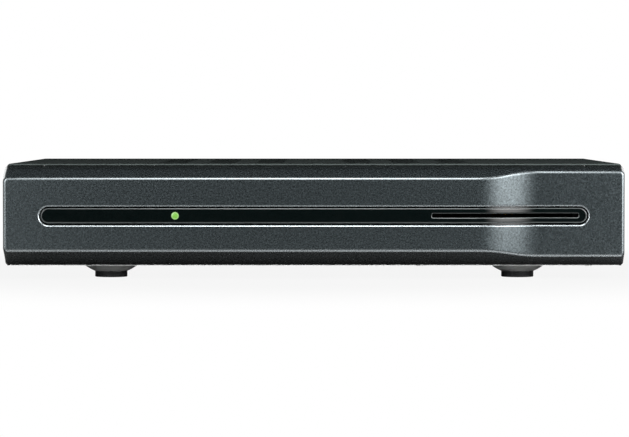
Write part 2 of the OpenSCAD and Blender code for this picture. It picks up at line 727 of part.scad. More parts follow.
module board(x, y, w, d, holes) difference() {
    translate([x, y, z_board]) cube([w, d, pcb_t]);
    for (p = holes) rod_z([p[0], p[1], z_board - cut], clear_d, pcb_t + 2 * cut);
}
module standoffs(holes) for (p = holes) translate([p[0], p[1], z_floor]) difference() {
    cylinder(d = standoff_d, h = standoff_h);
    rod_z([0, 0, sheet_t], pilot_d, standoff_h);
}
module board_screws(holes) for (p = holes)
    translate([p[0], p[1], z_parts]) screw(pcb_t + standoff_h - 2 * sheet_t);

module main_board() color("darkgreen") board(main_x0, main_y0, main_w, main_d, main_holes);
module main_standoffs() color("goldenrod") standoffs(main_holes);
module main_screws() color("silver") board_screws(main_holes);

// Tuner: a tinned can with a lid pressed over its four walls
tuner_wall = 0.5;
tuner_holes = 4;
module tuner_can() color("silver") {
    y1 = y_inside - fit_gap;
    difference() {
        block([tuner_x - tuner_w / 2, y1 - tuner_d, z_parts],
              [tuner_x + tuner_w / 2, y1, z_parts + tuner_h]);
        block([tuner_x - tuner_w / 2 + tuner_wall, y1 - tuner_d + tuner_wall, z_parts - cut],
              [tuner_x + tuner_w / 2 - tuner_wall, y1 - tuner_wall, z_parts + tuner_h - tuner_wall]);
        for (i = [1:tuner_holes])
            rod_z([tuner_x, y1 - tuner_d * i / (tuner_holes + 1), z_parts + tuner_h / 2],
                  tuner_w / 8, tuner_h);
    }
}

// Barrel of a coaxial socket on the tuner can, with its collar in the panel's hole
y_rf = y_inside - fit_gap;
rf_len = y_back + rf_out - y_rf;
module rf_barrel(p) difference() {
    union() {
        rod_y(p, rf_d, rf_len);
        rod_y(p, rf_d + 2 * rf_collar, fit_gap + sheet_t);
    }
    rod_y(p + [0, fit_gap + 2 * sheet_t, 0], rf_d - 2 * rf_wall, rf_len);
}
// Coaxial input: a barrel round a hollow centre contact
module rf_in_socket() color("silver") {
    p = [tuner_x + rf_pitch / 2, y_rf, z_rf];
    rf_barrel(p);
    difference() {
        rod_y(p, rf_d / 2, rf_len - cut);
        rod_y(p + [0, 2 * sheet_t, 0], rf_d / 4, rf_len);
    }
}
// Coaxial output: a barrel round a centre pin
module rf_out_socket() color("silver") {
    p = [tuner_x - rf_pitch / 2, y_rf, z_rf];
    rf_barrel(p);
    rod_y(p, rf_d / 4, rf_len - cut);
}

// SCART socket: body on the board, a nose through the panel with a moat and two rows of slots
contact_cols = 10;
contact_slot_w = 1.2;
scart_pitch = 3.6;
moat_w = 1.4;
module scart(x) color([0.1, 0.1, 0.1]) {
    z = z_parts + scart_h / 2;
    y1 = y_back + nose_out;
    difference() {
        union() {
            block([x - scart_w / 2, y_inside - fit_gap - scart_d, z_parts],
                  [x + scart_w / 2, y_inside - fit_gap, z_parts + scart_h]);
            along_y(y_inside - fit_gap - cut, y1) polygon(scart_nose(x, 0));
        }
        difference() {
            along_y(y_inside - scart_d / 2, y1 + cut) polygon(scart_nose(x, -moat_w / 2));
            along_y(y_inside - scart_d / 2 - cut, y1 - nose_out / 2) polygon(scart_nose(x, -moat_w * 1.5));
        }
        for (c = [0:contact_cols - 1], u = [-1, 1])
            translate([x + (c - (contact_cols - 1) / 2) * scart_pitch + u, y1, z + u * nose_h / 6])
                cube([contact_slot_w, scart_d, nose_h / 5], center = true);
    }
}
module tv_scart() scart(tv_x);
module vcr_scart() scart(vcr_x);

jack_collar = 0.7;
jack_bore = 3.2;
module audio_jack() {
    p = [jack_x, y_inside - fit_gap, z_jack];
    len = y_back + jack_out - p[1];
    color("orange") difference() {
        union() {
            block([jack_x - jack_w / 2, p[1] - jack_w, z_parts],
                  [jack_x + jack_w / 2, p[1], z_parts + jack_h]);
            rod_y(p - [0, cut, 0], jack_d, len + cut);
            rod_y(p - [0, cut, 0], jack_d + 2 * jack_collar, cut + fit_gap + sheet_t);
        }
        rod_y(p, jack_bore, len + cut);
    }
}

// Main board parts, ahead of the row of sockets
sink_x = (main_x0 + main_x1) / 2 - sink_w;
parts_y = main_y0 + 2 * hole_edge + memory_w * 1.5 + socket_gap;
module main_processor() color("black")
    block([sink_x - chip_w / 2, parts_y - chip_w / 2, z_parts],
          [sink_x + chip_w / 2, parts_y + chip_w / 2, z_parts + chip_t]);
sink_floor = 3;
fin_t = 1.4;
module processor_sink() color("silver") {
    z = z_parts + chip_t;
    block([sink_x - sink_w / 2, parts_y - sink_w / 2, z],
          [sink_x + sink_w / 2, parts_y + sink_w / 2, z + sink_floor]);
    for (i = [0:sink_fins - 1]) let (x = sink_x - sink_w / 2 + i * (sink_w - fin_t) / (sink_fins - 1))
        block([x, parts_y - sink_w / 2, z + sink_floor - cut],
              [x + fin_t, parts_y + sink_w / 2, z + sink_h]);
}
memory_x = sink_x + sink_w / 2 + 2 * socket_gap;
module memory_chips() color("black") for (i = [-1, 0, 1])
    block([memory_x, parts_y + i * (memory_w + socket_gap) - memory_w / 2, z_parts],
          [memory_x + memory_l, parts_y + i * (memory_w + socket_gap) + memory_w / 2, z_parts + memory_t]);

// Can capacitor with a rolled groove near its foot and a scored top
can_groove_up = 1.8;
can_groove_r = 0.4;
can_edge = 0.4;
can_score_w = 0.5;
module can_capacitor(d, h) difference() {
    rotate_extrude() polygon([
        [0, 0], [d / 2, 0], [d / 2, can_groove_up - can_groove_r], [d / 2 - can_groove_r, can_groove_up],
        [d / 2, can_groove_up + can_groove_r], [d / 2, h - can_edge], [d / 2 - can_edge, h], [0, h]]);
    for (a = [45, 135]) translate([0, 0, h]) rotate(a)
        cube([d - 4 * can_edge, can_score_w, can_score_w], center = true);
}
caps_x = main_x0 + 2 * hole_edge + cap_d;
caps_y = main_y0 + 2 * hole_edge + plug_d + socket_gap + cap_d / 2;
cap_count = 5;
module board_capacitors() color("navy") for (i = [0:cap_count - 1])
    translate([caps_x, caps_y + i * (cap_d + socket_gap), z_parts]) can_capacitor(cap_d, cap_h);

// Power supply, laid out from its mains end at the rear towards the front

supply_mid = supply_x + supply_w / 2;
y_supply_end = y_supply + supply_d;
y_fuse = y_supply_end - 2 * hole_edge - fuse_d;
y_choke = y_fuse - fuse_d / 2 - socket_gap - choke_w / 2;
y_core = y_choke - choke_w / 2 - bulk_d / 2 - socket_gap - core_d / 2;
y_output = y_core - core_d / 2 - 2 * socket_gap - out_cap_d / 2;

module supply_board() color("peru") board(supply_x, y_supply, supply_w, supply_d, supply_holes);
module supply_standoffs() color("white") standoffs(supply_holes);
module supply_screws() color("silver") board_screws(supply_holes);

// Transformer: two E halves seen as a frame, with the wound bobbin through it
limb = core_w / 5;
module transformer_core() color([0.2, 0.2, 0.22]) difference() {
    block([supply_mid - core_w / 2, y_core - core_d / 2, z_parts],
          [supply_mid + core_w / 2, y_core + core_d / 2, z_parts + core_h]);
    block([supply_mid - core_w / 2 + limb, y_core - core_d, z_parts + limb],
          [supply_mid + core_w / 2 - limb, y_core + core_d, z_parts + core_h - limb]);
}
module transformer_coil() color("gold") {
    w = core_w - 2 * limb - 2 * fit_gap;
    h = core_h - 2 * limb;
    translate([supply_mid, y_core - core_d / 2 - limb / 2, z_parts + limb])
        along_y(0, core_d + limb) translate([0, h / 2])
            polygon(round_box(-w / 2, -h / 2, w / 2, h / 2, limb / 3, limb / 3));
}
module bulk_capacitor() color("black")
    translate([supply_mid + supply_w / 4, y_choke - socket_gap, z_parts]) can_capacitor(bulk_d, bulk_h);
module mains_choke() color("darkorange") {
    x = supply_mid - supply_w / 4;
    difference() {
        block([x - choke_w / 2, y_choke - choke_w / 2, z_parts],
              [x + choke_w / 2, y_choke + choke_w / 2, z_parts + choke_h]);
        block([x - choke_w / 5, y_choke - choke_w, z_parts + choke_h / 3],
              [x + choke_w / 5, y_choke + choke_w, z_parts + choke_h * 3 / 4]);
    }
}
// Glass fuse in two sprung clips, lying across the board
clip_w = 4;
clip_t = 0.6;
clip_foot = 2;
clip_play = 0.1;
fuse_up = fuse_d / 2 + clip_foot;
module fuse() color("white") translate([supply_mid - fuse_len / 2, y_fuse, z_parts + fuse_up])
    rotate([0, 90, 0]) cylinder(d = fuse_d, h = fuse_len);
module fuse_clips() color("silver") for (s = [-1, 1])
    translate([supply_mid + s * (fuse_len - clip_w) / 2 - clip_w / 2, y_fuse, z_parts + fuse_up])
        rotate([90, 0, 90]) linear_extrude(clip_w) difference() {
            union() {
                circle(d = fuse_d + 2 * clip_t + clip_play);
                translate([-clip_w / 2, -fuse_up]) square([clip_w, fuse_up]);
            }
            circle(d = fuse_d + clip_play);
            translate([-fuse_d / 3, 0]) square([fuse_d * 2 / 3, fuse_d]);
        }
plate_fins = 5;
module supply_sink() color("silver") {
    x = supply_mid - core_w / 2 - socket_gap - plate_t;
    y0 = y_core - core_d / 2 - socket_gap / 2;
    block([x, y0, z_parts], [x + plate_t, y0 + plate_l, z_parts + plate_h]);
    for (i = [0:plate_fins - 1]) let (y = y0 + i * (plate_l - fin_t) / (plate_fins - 1))
        block([x - plate_t * 2, y, z_parts + plate_h / 4], [x + cut, y + fin_t, z_parts + plate_h]);
}
module output_capacitors() color("darkslateblue") for (i = [-1, 0, 1])
    translate([supply_mid + i * (out_cap_d + socket_gap), y_output, z_parts])
        can_capacitor(out_cap_d, out_cap_h);

// Two-pin mains inlet: a flanged box through the panel with two round lobes joined in its mouth
module inlet_mouth() along_y(y_panel + plate_flange_t - inlet_d, y_panel + plate_flange_t + cut)
    translate([inlet_x, z_mains]) polygon(obround(inlet_w, inlet_h));
inlet_pins_x = [inlet_x - pin_pitch / 2, inlet_x + pin_pitch / 2];
y_inlet = y_panel - inlet_body;
module mains_inlet() color([0.12, 0.12, 0.12]) difference() {
    union() {
        block([inlet_x - inlet_out_w / 2, y_inlet, z_mains - inlet_out_h / 2],
              [inlet_x + inlet_out_w / 2, y_panel + cut, z_mains + inlet_out_h / 2]);
        along_y(y_panel, y_panel + plate_flange_t) polygon(round_box(
            inlet_x - inlet_out_w / 2 - plate_flange_w, z_mains - inlet_out_h / 2 - plate_flange_w,
            inlet_x + inlet_out_w / 2 + plate_flange_w, z_mains + inlet_out_h / 2 + plate_flange_w,
            plate_flange_w, plate_flange_w));
    }
    inlet_mouth();
    for (x = inlet_pins_x) rod_y([x, y_inlet - cut, z_mains], pin_d + 2 * glue_t, inlet_floor + 2 * cut);
}
tab_len = 6;
pin_back = 2.4;
module inlet_pins() color("silver") for (x = inlet_pins_x)
    rod_y([x, y_inlet - tab_len, z_mains], pin_d, tab_len + inlet_floor + inlet_d - pin_back);

// Rocker switch: a framed body with a well, and the rocker on two stub pivots
switch_well = 9;
rocker_keel = 6;
rocker_chin = 1.7;
module mains_switch() color([0.12, 0.12, 0.12]) difference() {
    union() {
        block([rocker_x - switch_out_w / 2, y_panel - switch_body, z_mains - switch_out_h / 2],
              [rocker_x + switch_out_w / 2, y_panel + cut, z_mains + switch_out_h / 2]);
        along_y(y_panel, y_panel + plate_flange_t) polygon(round_box(
            rocker_x - switch_out_w / 2 - plate_flange_w, z_mains - switch_out_h / 2 - plate_flange_w,
            rocker_x + switch_out_w / 2 + plate_flange_w, z_mains + switch_out_h / 2 + plate_flange_w,
            plate_flange_w / 2, plate_flange_w / 2));
        for (u = [-1, 1])
            rod_y([rocker_x, y_panel - switch_body - tab_len, z_mains + u * switch_out_h / 4],
                  pin_d, tab_len + cut);
    }
    block([rocker_x - switch_in_w / 2, y_panel - switch_well, z_mains - rocker_room],
          [rocker_x + switch_in_w / 2, y_panel + plate_flange_t + cut, z_mains + rocker_room]);
    translate([rocker_x - switch_out_w, y_pivot, z_mains]) rotate([0, 90, 0])
        cylinder(d = pivot_d + 2 * pivot_play, h = 2 * switch_out_w);
}
module mains_rocker() color("black") translate([rocker_x, y_pivot, z_mains]) rotate([-rocker_tilt, 0, 0]) {
    a = rocker_h / 2;
    dip = rocker_rise - a * tan(rocker_tilt);
    along_x(-rocker_w / 2, rocker_w / 2) polygon([
        [rocker_rise, a], [dip, 0], [rocker_rise, -a], [-cut, rocker_chin - a], [-rocker_keel, -a / 4],
        [-rocker_keel, a / 4], [-cut, a - rocker_chin]]);
    translate([-switch_out_w / 2, 0, 0]) rotate([0, 90, 0]) cylinder(d = pivot_d, h = switch_out_w);
}

// Front board, behind the lens bar

module front_board() color("darkgreen") difference() {
    block([front_board_x - front_board_w / 2, y_front_board, z_bar - front_board_h / 2],
          [front_board_x + front_board_w / 2, y_front_board + pcb_t, z_bar + front_board_h / 2]);
    for (s = [-1, 1], u = [-1, 1])
        rod_y([front_board_x + s * boss_x, y_front_board - cut, z_bar + u * boss_z], clear_d,
              pcb_t + 2 * cut);
}
module front_screws() color("silver") for (s = [-1, 1], u = [-1, 1])
    translate([front_board_x + s * boss_x, y_front_board + pcb_t, z_bar + u * boss_z]) rotate([-90, 0, 0])
        screw(screw_len);
led_rim_w = 0.3;
led_rim_t = 1;
module status_led() color("palegreen") translate([light_x, y_front_board, z_bar]) rotate([90, 0, 0])
    rotate_extrude() polygon(concat(
        [[0, 0], [light_d / 2 + led_rim_w, 0],
         [light_d / 2 + led_rim_w, led_rim_t], [light_d / 2, led_rim_t]],
        arc(0, led_len - light_d / 2, light_d / 2, 0, 90)));
infrared_w = 6;
infrared_lens = 4.2;
module infrared_receiver() color("black") {
    x = light_x + 4 * infrared_w;
    block([x - infrared_w / 2, y_front_board - infrared_w / 2, z_bar - infrared_w / 2],
          [x + infrared_w / 2, y_front_board, z_bar + infrared_w / 2]);
    intersection() {
        translate([x, y_front_board - infrared_w / 2, z_bar]) sphere(d = infrared_lens);
        block([x - infrared_w, y_front_board - infrared_w, z_bar - infrared_w],
              [x + infrared_w, y_front_board - 1, z_bar + infrared_w]);
    }
}

// Card reader on its bracket

function bracket_section() = let (w = reader_w / 2, f = bracket_foot, t = bracket_t) [
    [-w - f, z_floor], [-w + t, z_floor], [-w + t, z_tray - t],
    [w - t, z_tray - t], [w - t, z_floor], [w + f, z_floor],
    [w + f, z_floor + t], [w, z_floor + t], [w, z_tray],
    [-w, z_tray], [-w, z_floor + t], [-w - f, z_floor + t]];
module reader_bracket() color("silver") difference() {
    along_y(y_bracket, y_reader) translate([slot_x, 0]) polygon(bracket_section());
    for (x = bracket_screw_x, y = bracket_screw_y)
        rod_z([x, y, z_floor - cut], clear_d, bracket_t + 2 * cut);
    for (x = reader_screw_x, y = reader_screw_y)
        rod_z([x, y, z_tray - bracket_t - cut], reader_screw_d + thread_play, bracket_t + 2 * cut);
}
module bracket_screws() color("silver") for (x = bracket_screw_x, y = bracket_screw_y)
    translate([x, y, z_floor + bracket_t]) screw(bracket_t + sheet_t + cut);

// Holes down through the side rails
module rail_holes(z0, z1) for (x = reader_screw_x, y = reader_screw_y)
    rod_z([x, y, z0], reader_screw_d + fit_gap, z1 - z0);
y_block = y_stop - 2 * block_d;
module reader_tray() color([0.13, 0.13, 0.14]) difference() {
    block([slot_x - reader_w / 2, y_mouth, z_tray],
          [slot_x + reader_w / 2, y_reader, z_bar + channel_h / 2]);
    block([slot_x - channel_w / 2, y_mouth - cut, z_bar - channel_h / 2],
          [slot_x + channel_w / 2, y_stop, z_bar + channel_h]);
    block([slot_x - block_w / 2 - fit_gap, y_block - fit_gap, z_tray - cut],
          [slot_x + block_w / 2 + fit_gap, y_block + block_d + fit_gap, z_bar]);
    block([switch_x - plunger_w / 2 - fit_gap, y_stop - cut, z_bar - channel_h],
          [switch_x + plunger_w / 2 + fit_gap, y_reader + cut, z_bar + channel_h]);
    along_x(slot_x - channel_w / 2, slot_x + channel_w / 2) polygon([
        [y_mouth - cut, z_bar], [y_mouth - cut, z_tray + tray_t / 2], [y_mouth, z_tray + tray_t / 2],
        [y_mouth + tray_t, z_tray + tray_t], [y_mouth + tray_t, z_bar]]);
    rail_holes(z_tray - cut, z_bar + channel_h);
}
module reader_lid() color([0.16, 0.16, 0.17]) {
    z = z_bar + channel_h / 2;
    difference() {
        block([slot_x - reader_w / 2, y_mouth, z], [slot_x + reader_w / 2, y_reader, z + lid_t]);
        along_x(slot_x - channel_w / 2, slot_x + channel_w / 2) polygon([
            [y_mouth - cut, z - cut], [y_mouth + lid_t, z - cut], [y_mouth + lid_t, z],
            [y_mouth, z + lid_t / 2], [y_mouth - cut, z + lid_t / 2]]);
        block([slot_x - block_w, y_block, z + lid_t / 2],
              [slot_x + block_w, y_block + block_d, z + lid_t + cut]);
        rail_holes(z - cut, z + lid_t + cut);
    }
}
module reader_screws() color("silver") for (x = reader_screw_x, y = reader_screw_y)
    translate([x, y, z_bar + channel_h / 2 + lid_t])
        screw(lid_t + channel_h + tray_t + bracket_t + cut, reader_screw_d, reader_head_d);
module contact_block() color("ivory")
    block([slot_x - block_w / 2, y_block, z_tray],
          [slot_x + block_w / 2, y_block + block_d, z_bar - channel_h / 2]);

// Sprung contacts: bowed strips in two rows of four on the block
contact_pitch = 2.54;
contact_edge = 0.7;
contact_w = 1.2;
contact_l = 4;
contact_t = 0.15;
function contact_strip(y, z) = let (l = contact_l, t = contact_t, h = card_room) [
    [y, z], [y + l / 5, z], [y + l / 2, z + h], [y + l * 4 / 5, z], [y + l, z],
    [y + l, z + t], [y + l * 4 / 5, z + t], [y + l / 2, z + h + t], [y + l / 5, z + t], [y, z + t]];
module card_contacts() color("gold") for (i = [-1.5:1.5], r = [0, 1])
    let (x = slot_x + i * contact_pitch) along_x(x - contact_w / 2, x + contact_w / 2)
        polygon(contact_strip(y_block + contact_edge + r * block_d / 2, z_bar - channel_h / 2));

// Card switch behind the channel and the plunger that the card's end pushes in
module card_switch() color("saddlebrown") difference() {
    block([switch_x - switch_w / 2, y_reader, z_bar - switch_h / 2],
          [switch_x + switch_w / 2, y_reader + switch_d, z_bar + switch_h / 2]);
    w = plunger_w / 2 + fit_gap;
    h = plunger_t / 2 + fit_gap;
    block([switch_x - w, y_reader - cut, z_bar - h],
          [switch_x + w, y_reader + switch_wall + cut, z_bar + h]);
    x = plunger_head_w / 2 + fit_gap;
    z = plunger_head_t / 2 + fit_gap;
    block([switch_x - x, y_reader + switch_wall, z_bar - z],
          [switch_x + x, y_reader + switch_wall + cavity_d, z_bar + z]);
}
module switch_plunger() color("white") {
    block([switch_x - plunger_w / 2, y_stop - plunger_reach, z_bar - plunger_t / 2],
          [switch_x + plunger_w / 2, y_head + cut, z_bar + plunger_t / 2]);
    block([switch_x - plunger_head_w / 2, y_head, z_bar - plunger_head_t / 2],
          [switch_x + plunger_head_w / 2, y_head + head_t, z_bar + plunger_head_t / 2]);
}

// Wiring

ribbon_t = 0.4;
ribbon_in = 1;
ribbon_w = plug_w - 2 * ribbon_in;
ribbon_x = front_board_x;
ribbon_steps = 12;
y_ribbon0 = y_front_board + pcb_t + plug_d;
y_ribbon1 = main_y0 + 2 * hole_edge;
harness_y = main_y0 + main_rear_hole;
harness_pitch = 2.5;
harness_d = 1.4;
lead_d = 2;
module cable_sockets() color("white") {
    block([ribbon_x - plug_w / 2, y_front_board + pcb_t, z_bar - plug_h / 2],
          [ribbon_x + plug_w / 2, y_ribbon0, z_bar + plug_h / 2]);
    block([ribbon_x - plug_w / 2, y_ribbon1, z_parts],
          [ribbon_x + plug_w / 2, y_ribbon1 + plug_d, z_parts + plug_h]);
}
// Ribbon: level at both sockets, easing down to the main board between them
function ribbon_edge(lift) = [for (i = [0:ribbon_steps]) let (t = i / ribbon_steps)
    [y_ribbon0 + (y_ribbon1 - y_ribbon0) * t,
     z_bar + (z_parts + plug_h / 2 - z_bar) * (1 - cos(180 * t)) / 2 + lift]];
module ribbon_cable() color("whitesmoke") along_x(ribbon_x - ribbon_w / 2, ribbon_x + ribbon_w / 2)
    polygon(concat(ribbon_edge(ribbon_t / 2),
                   [for (i = [ribbon_steps:-1:0]) ribbon_edge(-ribbon_t / 2)[i]]));
module power_harness() color("firebrick") for (i = [-1.5:1.5]) let (y = harness_y + i * harness_pitch)
    wire(wire_arch([supply_x + supply_w - harness_pitch, y, z_parts],
                   [main_x0 + harness_pitch, y, z_parts], plug_h), harness_d);
module mains_leads() color("saddlebrown") {
    y = y_supply_end - hole_edge;
    for (x = inlet_pins_x) wire(wire_drop([x, y_inlet - tab_len, z_mains], [x, y, z_parts]), lead_d);
    for (u = [-1, 1])
        wire(wire_drop([rocker_x, y_panel - switch_body - tab_len, z_mains + u * switch_out_h / 4],
                       [rocker_x, y - (u + 1) * lead_d, z_parts]), lead_d);
}

// Case screws

module cover_screws() color("silver") for (x = cover_screw_x)
    translate([x, y_back, cover_screw_z]) rotate([-90, 0, 0]) screw(short_screw);
module base_screws() color("silver") for (x = base_screw_x)
    translate([x, base_screw_y, z_base]) rotate([180, 0, 0]) screw(short_screw);

base_tray();
rear_panel();
top_cover();
front_bezel();
lens_bar();
light_pipe();
foot(-foot_x, foot_front_y);  // foot_front_left
foot(foot_x, foot_front_y);  // foot_front_right
foot(-foot_x, foot_rear_y);  // foot_rear_left
foot(foot_x, foot_rear_y);  // foot_rear_right
main_board();
main_standoffs();
main_screws();
tuner_can();
rf_in_socket();
rf_out_socket();
tv_scart();
vcr_scart();
audio_jack();
main_processor();
processor_sink();
memory_chips();
board_capacitors();
supply_board();
supply_standoffs();
supply_screws();
transformer_core();
transformer_coil();
bulk_capacitor();
mains_choke();
fuse();
fuse_clips();
supply_sink();
output_capacitors();
mains_inlet();
inlet_pins();
mains_switch();
mains_rocker();
front_board();
front_screws();
status_led();
infrared_receiver();
reader_bracket();
bracket_screws();
reader_tray();
reader_lid();
reader_screws();
contact_block();
card_contacts();
card_switch();
switch_plunger();
ribbon_cable();
cable_sockets();
power_harness();
mains_leads();
cover_screws();
base_screws();
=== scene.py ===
from math import atan, cos, pi, radians, sin, sqrt, tan

import bmesh
import bpy
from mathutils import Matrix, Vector
from mathutils.geometry import delaunay_2d_cdt


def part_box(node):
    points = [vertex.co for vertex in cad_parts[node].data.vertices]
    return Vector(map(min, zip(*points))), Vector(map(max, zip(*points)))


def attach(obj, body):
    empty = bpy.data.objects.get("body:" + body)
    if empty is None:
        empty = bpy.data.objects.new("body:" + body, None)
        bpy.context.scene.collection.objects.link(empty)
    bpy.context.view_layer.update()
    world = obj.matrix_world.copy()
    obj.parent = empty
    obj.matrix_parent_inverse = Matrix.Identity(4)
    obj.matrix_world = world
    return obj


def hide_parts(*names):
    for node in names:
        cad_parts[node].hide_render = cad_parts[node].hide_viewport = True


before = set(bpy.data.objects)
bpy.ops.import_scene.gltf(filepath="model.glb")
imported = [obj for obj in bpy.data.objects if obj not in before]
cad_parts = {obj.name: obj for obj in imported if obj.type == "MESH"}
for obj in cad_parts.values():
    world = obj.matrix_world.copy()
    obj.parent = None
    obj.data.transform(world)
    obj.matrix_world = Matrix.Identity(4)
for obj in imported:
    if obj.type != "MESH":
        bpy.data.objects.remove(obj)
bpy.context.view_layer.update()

# Base tray, rear panel and card-reader bracket.
# Zinc-plated sheet steel, cut and folded; the tray's dishes are pressed down to carry the feet.
# The plating has faint spangles, and fine scratches along the way the sheet was rolled.
mm = 0.001


def new_finish(name, colour, roughness, metallic=0.0):
    """A finish with its plain values on the shader's own sockets."""
    finish = bpy.data.materials.new(name)
    finish.use_nodes = True
    shader = finish.node_tree.nodes["Principled BSDF"]
    shader.inputs["Base Color"].default_value = (*colour, 1.0)
    shader.inputs["Roughness"].default_value = roughness
    shader.inputs["Metallic"].default_value = metallic
    return finish, shader


def grain(finish, grain_size, detail=2.0, stretch=(1.0, 1.0, 1.0), kind="ShaderNodeTexNoise"):
    """Noise in the piece's own frame, with features about grain_size across."""
    nodes, links = finish.node_tree.nodes, finish.node_tree.links
    place = nodes.new("ShaderNodeTexCoord")
    spread = nodes.new("ShaderNodeMapping")
    spread.inputs["Scale"].default_value = tuple(share / grain_size for share in stretch)
    links.new(place.outputs["Object"], spread.inputs["Vector"])
    texture = nodes.new(kind)
    texture.inputs["Scale"].default_value = 1.0
    if "Detail" in texture.inputs:
        texture.inputs["Detail"].default_value = detail
    links.new(spread.outputs["Vector"], texture.inputs["Vector"])
    return texture.outputs["Fac" if kind == "ShaderNodeTexNoise" else "Distance"]


def vary(finish, source, target, dark, light, low=0.3, high=0.7):
    """Carry a grain to a socket through a ramp between two colours or two values."""
    nodes, links = finish.node_tree.nodes, finish.node_tree.links
    ramp = nodes.new("ShaderNodeValToRGB")
    ends = [(share, share, share) if isinstance(share, float) else share for share in (dark, light)]
    for stop, place, shade in zip(ramp.color_ramp.elements, (low, high), ends):
        stop.position = place
        stop.color = (*shade, 1.0)
    links.new(source, ramp.inputs["Fac"])
    links.new(ramp.outputs["Color"], target)


def emboss(finish, shader, source, height, strength=1.0):
    """Raise a grain by up to height metres."""
    bump = finish.node_tree.nodes.new("ShaderNodeBump")
    bump.inputs["Distance"].default_value = height
    bump.inputs["Strength"].default_value = strength
    finish.node_tree.links.new(source, bump.inputs["Height"])
    finish.node_tree.links.new(bump.outputs["Normal"], shader.inputs["Normal"])


def dress(finish, *names):
    """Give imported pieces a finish."""
    for name in names:
        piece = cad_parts[name]
        piece.data.materials.clear()
        piece.data.materials.append(finish)


zinc, zinc_shader = new_finish("zinc plate", (0.7, 0.71, 0.7), roughness=0.42, metallic=0.25)
vary(zinc, grain(zinc, 2.2 * mm, kind="ShaderNodeTexVoronoi"), zinc_shader.inputs["Base Color"],
     (0.64, 0.65, 0.65), (0.76, 0.77, 0.76), low=0.1, high=0.8)
vary(zinc, grain(zinc, 0.5 * mm, stretch=(1.0, 0.05, 1.0)), zinc_shader.inputs["Roughness"], 0.34, 0.5)
emboss(zinc, zinc_shader, grain(zinc, 0.4 * mm, stretch=(1.0, 0.06, 1.0)), height=0.004 * mm)
dress(zinc, "base_tray", "rear_panel", "reader_bracket")

# Feet.
# Four moulded rubber discs, their stems pushed through the dishes and locked by a head inside.
# The rubber is black with a soft bloom and a fine pitted skin.
foot_d, foot_h = 13.7 * mm, 2.5 * mm
foot_edge_r, foot_top_r = 0.35 * mm, 0.3 * mm
ring_in, hollow_in = 2.0 * mm, 2.6 * mm
hollow_edge, hollow_middle = 0.2 * mm, 0.25 * mm
stem_d, stem_top = 4.8 * mm, 4.8 * mm
neck_h, head_out = 0.8 * mm, 0.8 * mm
tip_h, tip_side_in, tip_in = 0.2 * mm, 0.4 * mm, 0.6 * mm
foot_turns, round_steps, foot_top_steps = 64, 6, 3


def add_piece(name, build, body, *replaced, slot=None, sharp=35.0):
    """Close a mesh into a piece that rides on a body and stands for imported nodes."""
    bmesh.ops.recalc_face_normals(build, faces=build.faces)
    mesh = bpy.data.meshes.new(name)
    build.to_mesh(mesh)
    build.free()
    mesh.shade_smooth()
    mesh.set_sharp_from_angle(angle=radians(sharp))
    piece = bpy.data.objects.new(name, mesh)
    bpy.context.collection.objects.link(piece)
    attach(piece, body)
    if replaced:
        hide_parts(*replaced)
    return piece


def arc_points(centre_x, centre_z, radius, start, end, steps=round_steps):
    """Points on an arc, angles in degrees."""
    turns = [radians(start + (end - start) * step / steps) for step in range(steps + 1)]
    return [(centre_x + radius * cos(turn), centre_z + radius * sin(turn)) for turn in turns]


def spin(build, profile, place, turns):
    """Revolve (radius, height) points that start and end on the axis about a line along Z."""
    rings = []
    for radius, height in profile:
        if radius == 0:
            rings.append([build.verts.new(place + Vector((0, 0, height)))])
            continue
        rings.append([build.verts.new(place + Vector((radius * cos(2 * pi * step / turns),
                                                      radius * sin(2 * pi * step / turns), height)))
                      for step in range(turns)])
    for first, second in zip(rings, rings[1:]):
        for step in range(turns):
            corners = [first[step % len(first)], first[(step + 1) % len(first)],
                       second[(step + 1) % len(second)], second[step % len(second)]]
            build.faces.new(list(dict.fromkeys(corners)))


def mottle(finish, shader, socket, grain_size, dark, light):
    """Vary one of a finish's sockets with an even grain."""
    vary(finish, grain(finish, grain_size), shader.inputs[socket], dark, light)


rubber, rubber_shader = new_finish("foot rubber", (0.015, 0.016, 0.017), roughness=0.62)
rubber_shader.inputs["Specular IOR Level"].default_value = 0.2
mottle(rubber, rubber_shader, "Base Color", 1.6 * mm, (0.012, 0.0125, 0.013), (0.02, 0.021, 0.022))
emboss(rubber, rubber_shader, grain(rubber, 0.35 * mm), height=0.03 * mm)
foot_r, stem_r = foot_d / 2, stem_d / 2
foot_profile = ([(0, hollow_middle), (foot_r - hollow_in, hollow_edge), (foot_r - ring_in, 0)]
                + arc_points(foot_r - foot_edge_r, foot_edge_r, foot_edge_r, -90, 0)
                + arc_points(foot_r - foot_top_r, foot_h - foot_top_r, foot_top_r, 0, 90, foot_top_steps)
                + [(stem_r, foot_h), (stem_r, foot_h + neck_h), (stem_r + head_out, foot_h + neck_h),
                   (stem_r - tip_side_in, stem_top - tip_h), (stem_r - tip_in, stem_top), (0, stem_top)])
for corner in ("front_left", "front_right", "rear_left", "rear_right"):
    low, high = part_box("foot_" + corner)
    build = bmesh.new()
    spin(build, foot_profile, Vector(((low.x + high.x) / 2, (low.y + high.y) / 2, 0)), foot_turns)
    piece = add_piece("rubber_foot_" + corner, build, "case", "foot_" + corner, slot="foot_rubber")
    piece.data.materials.append(rubber)

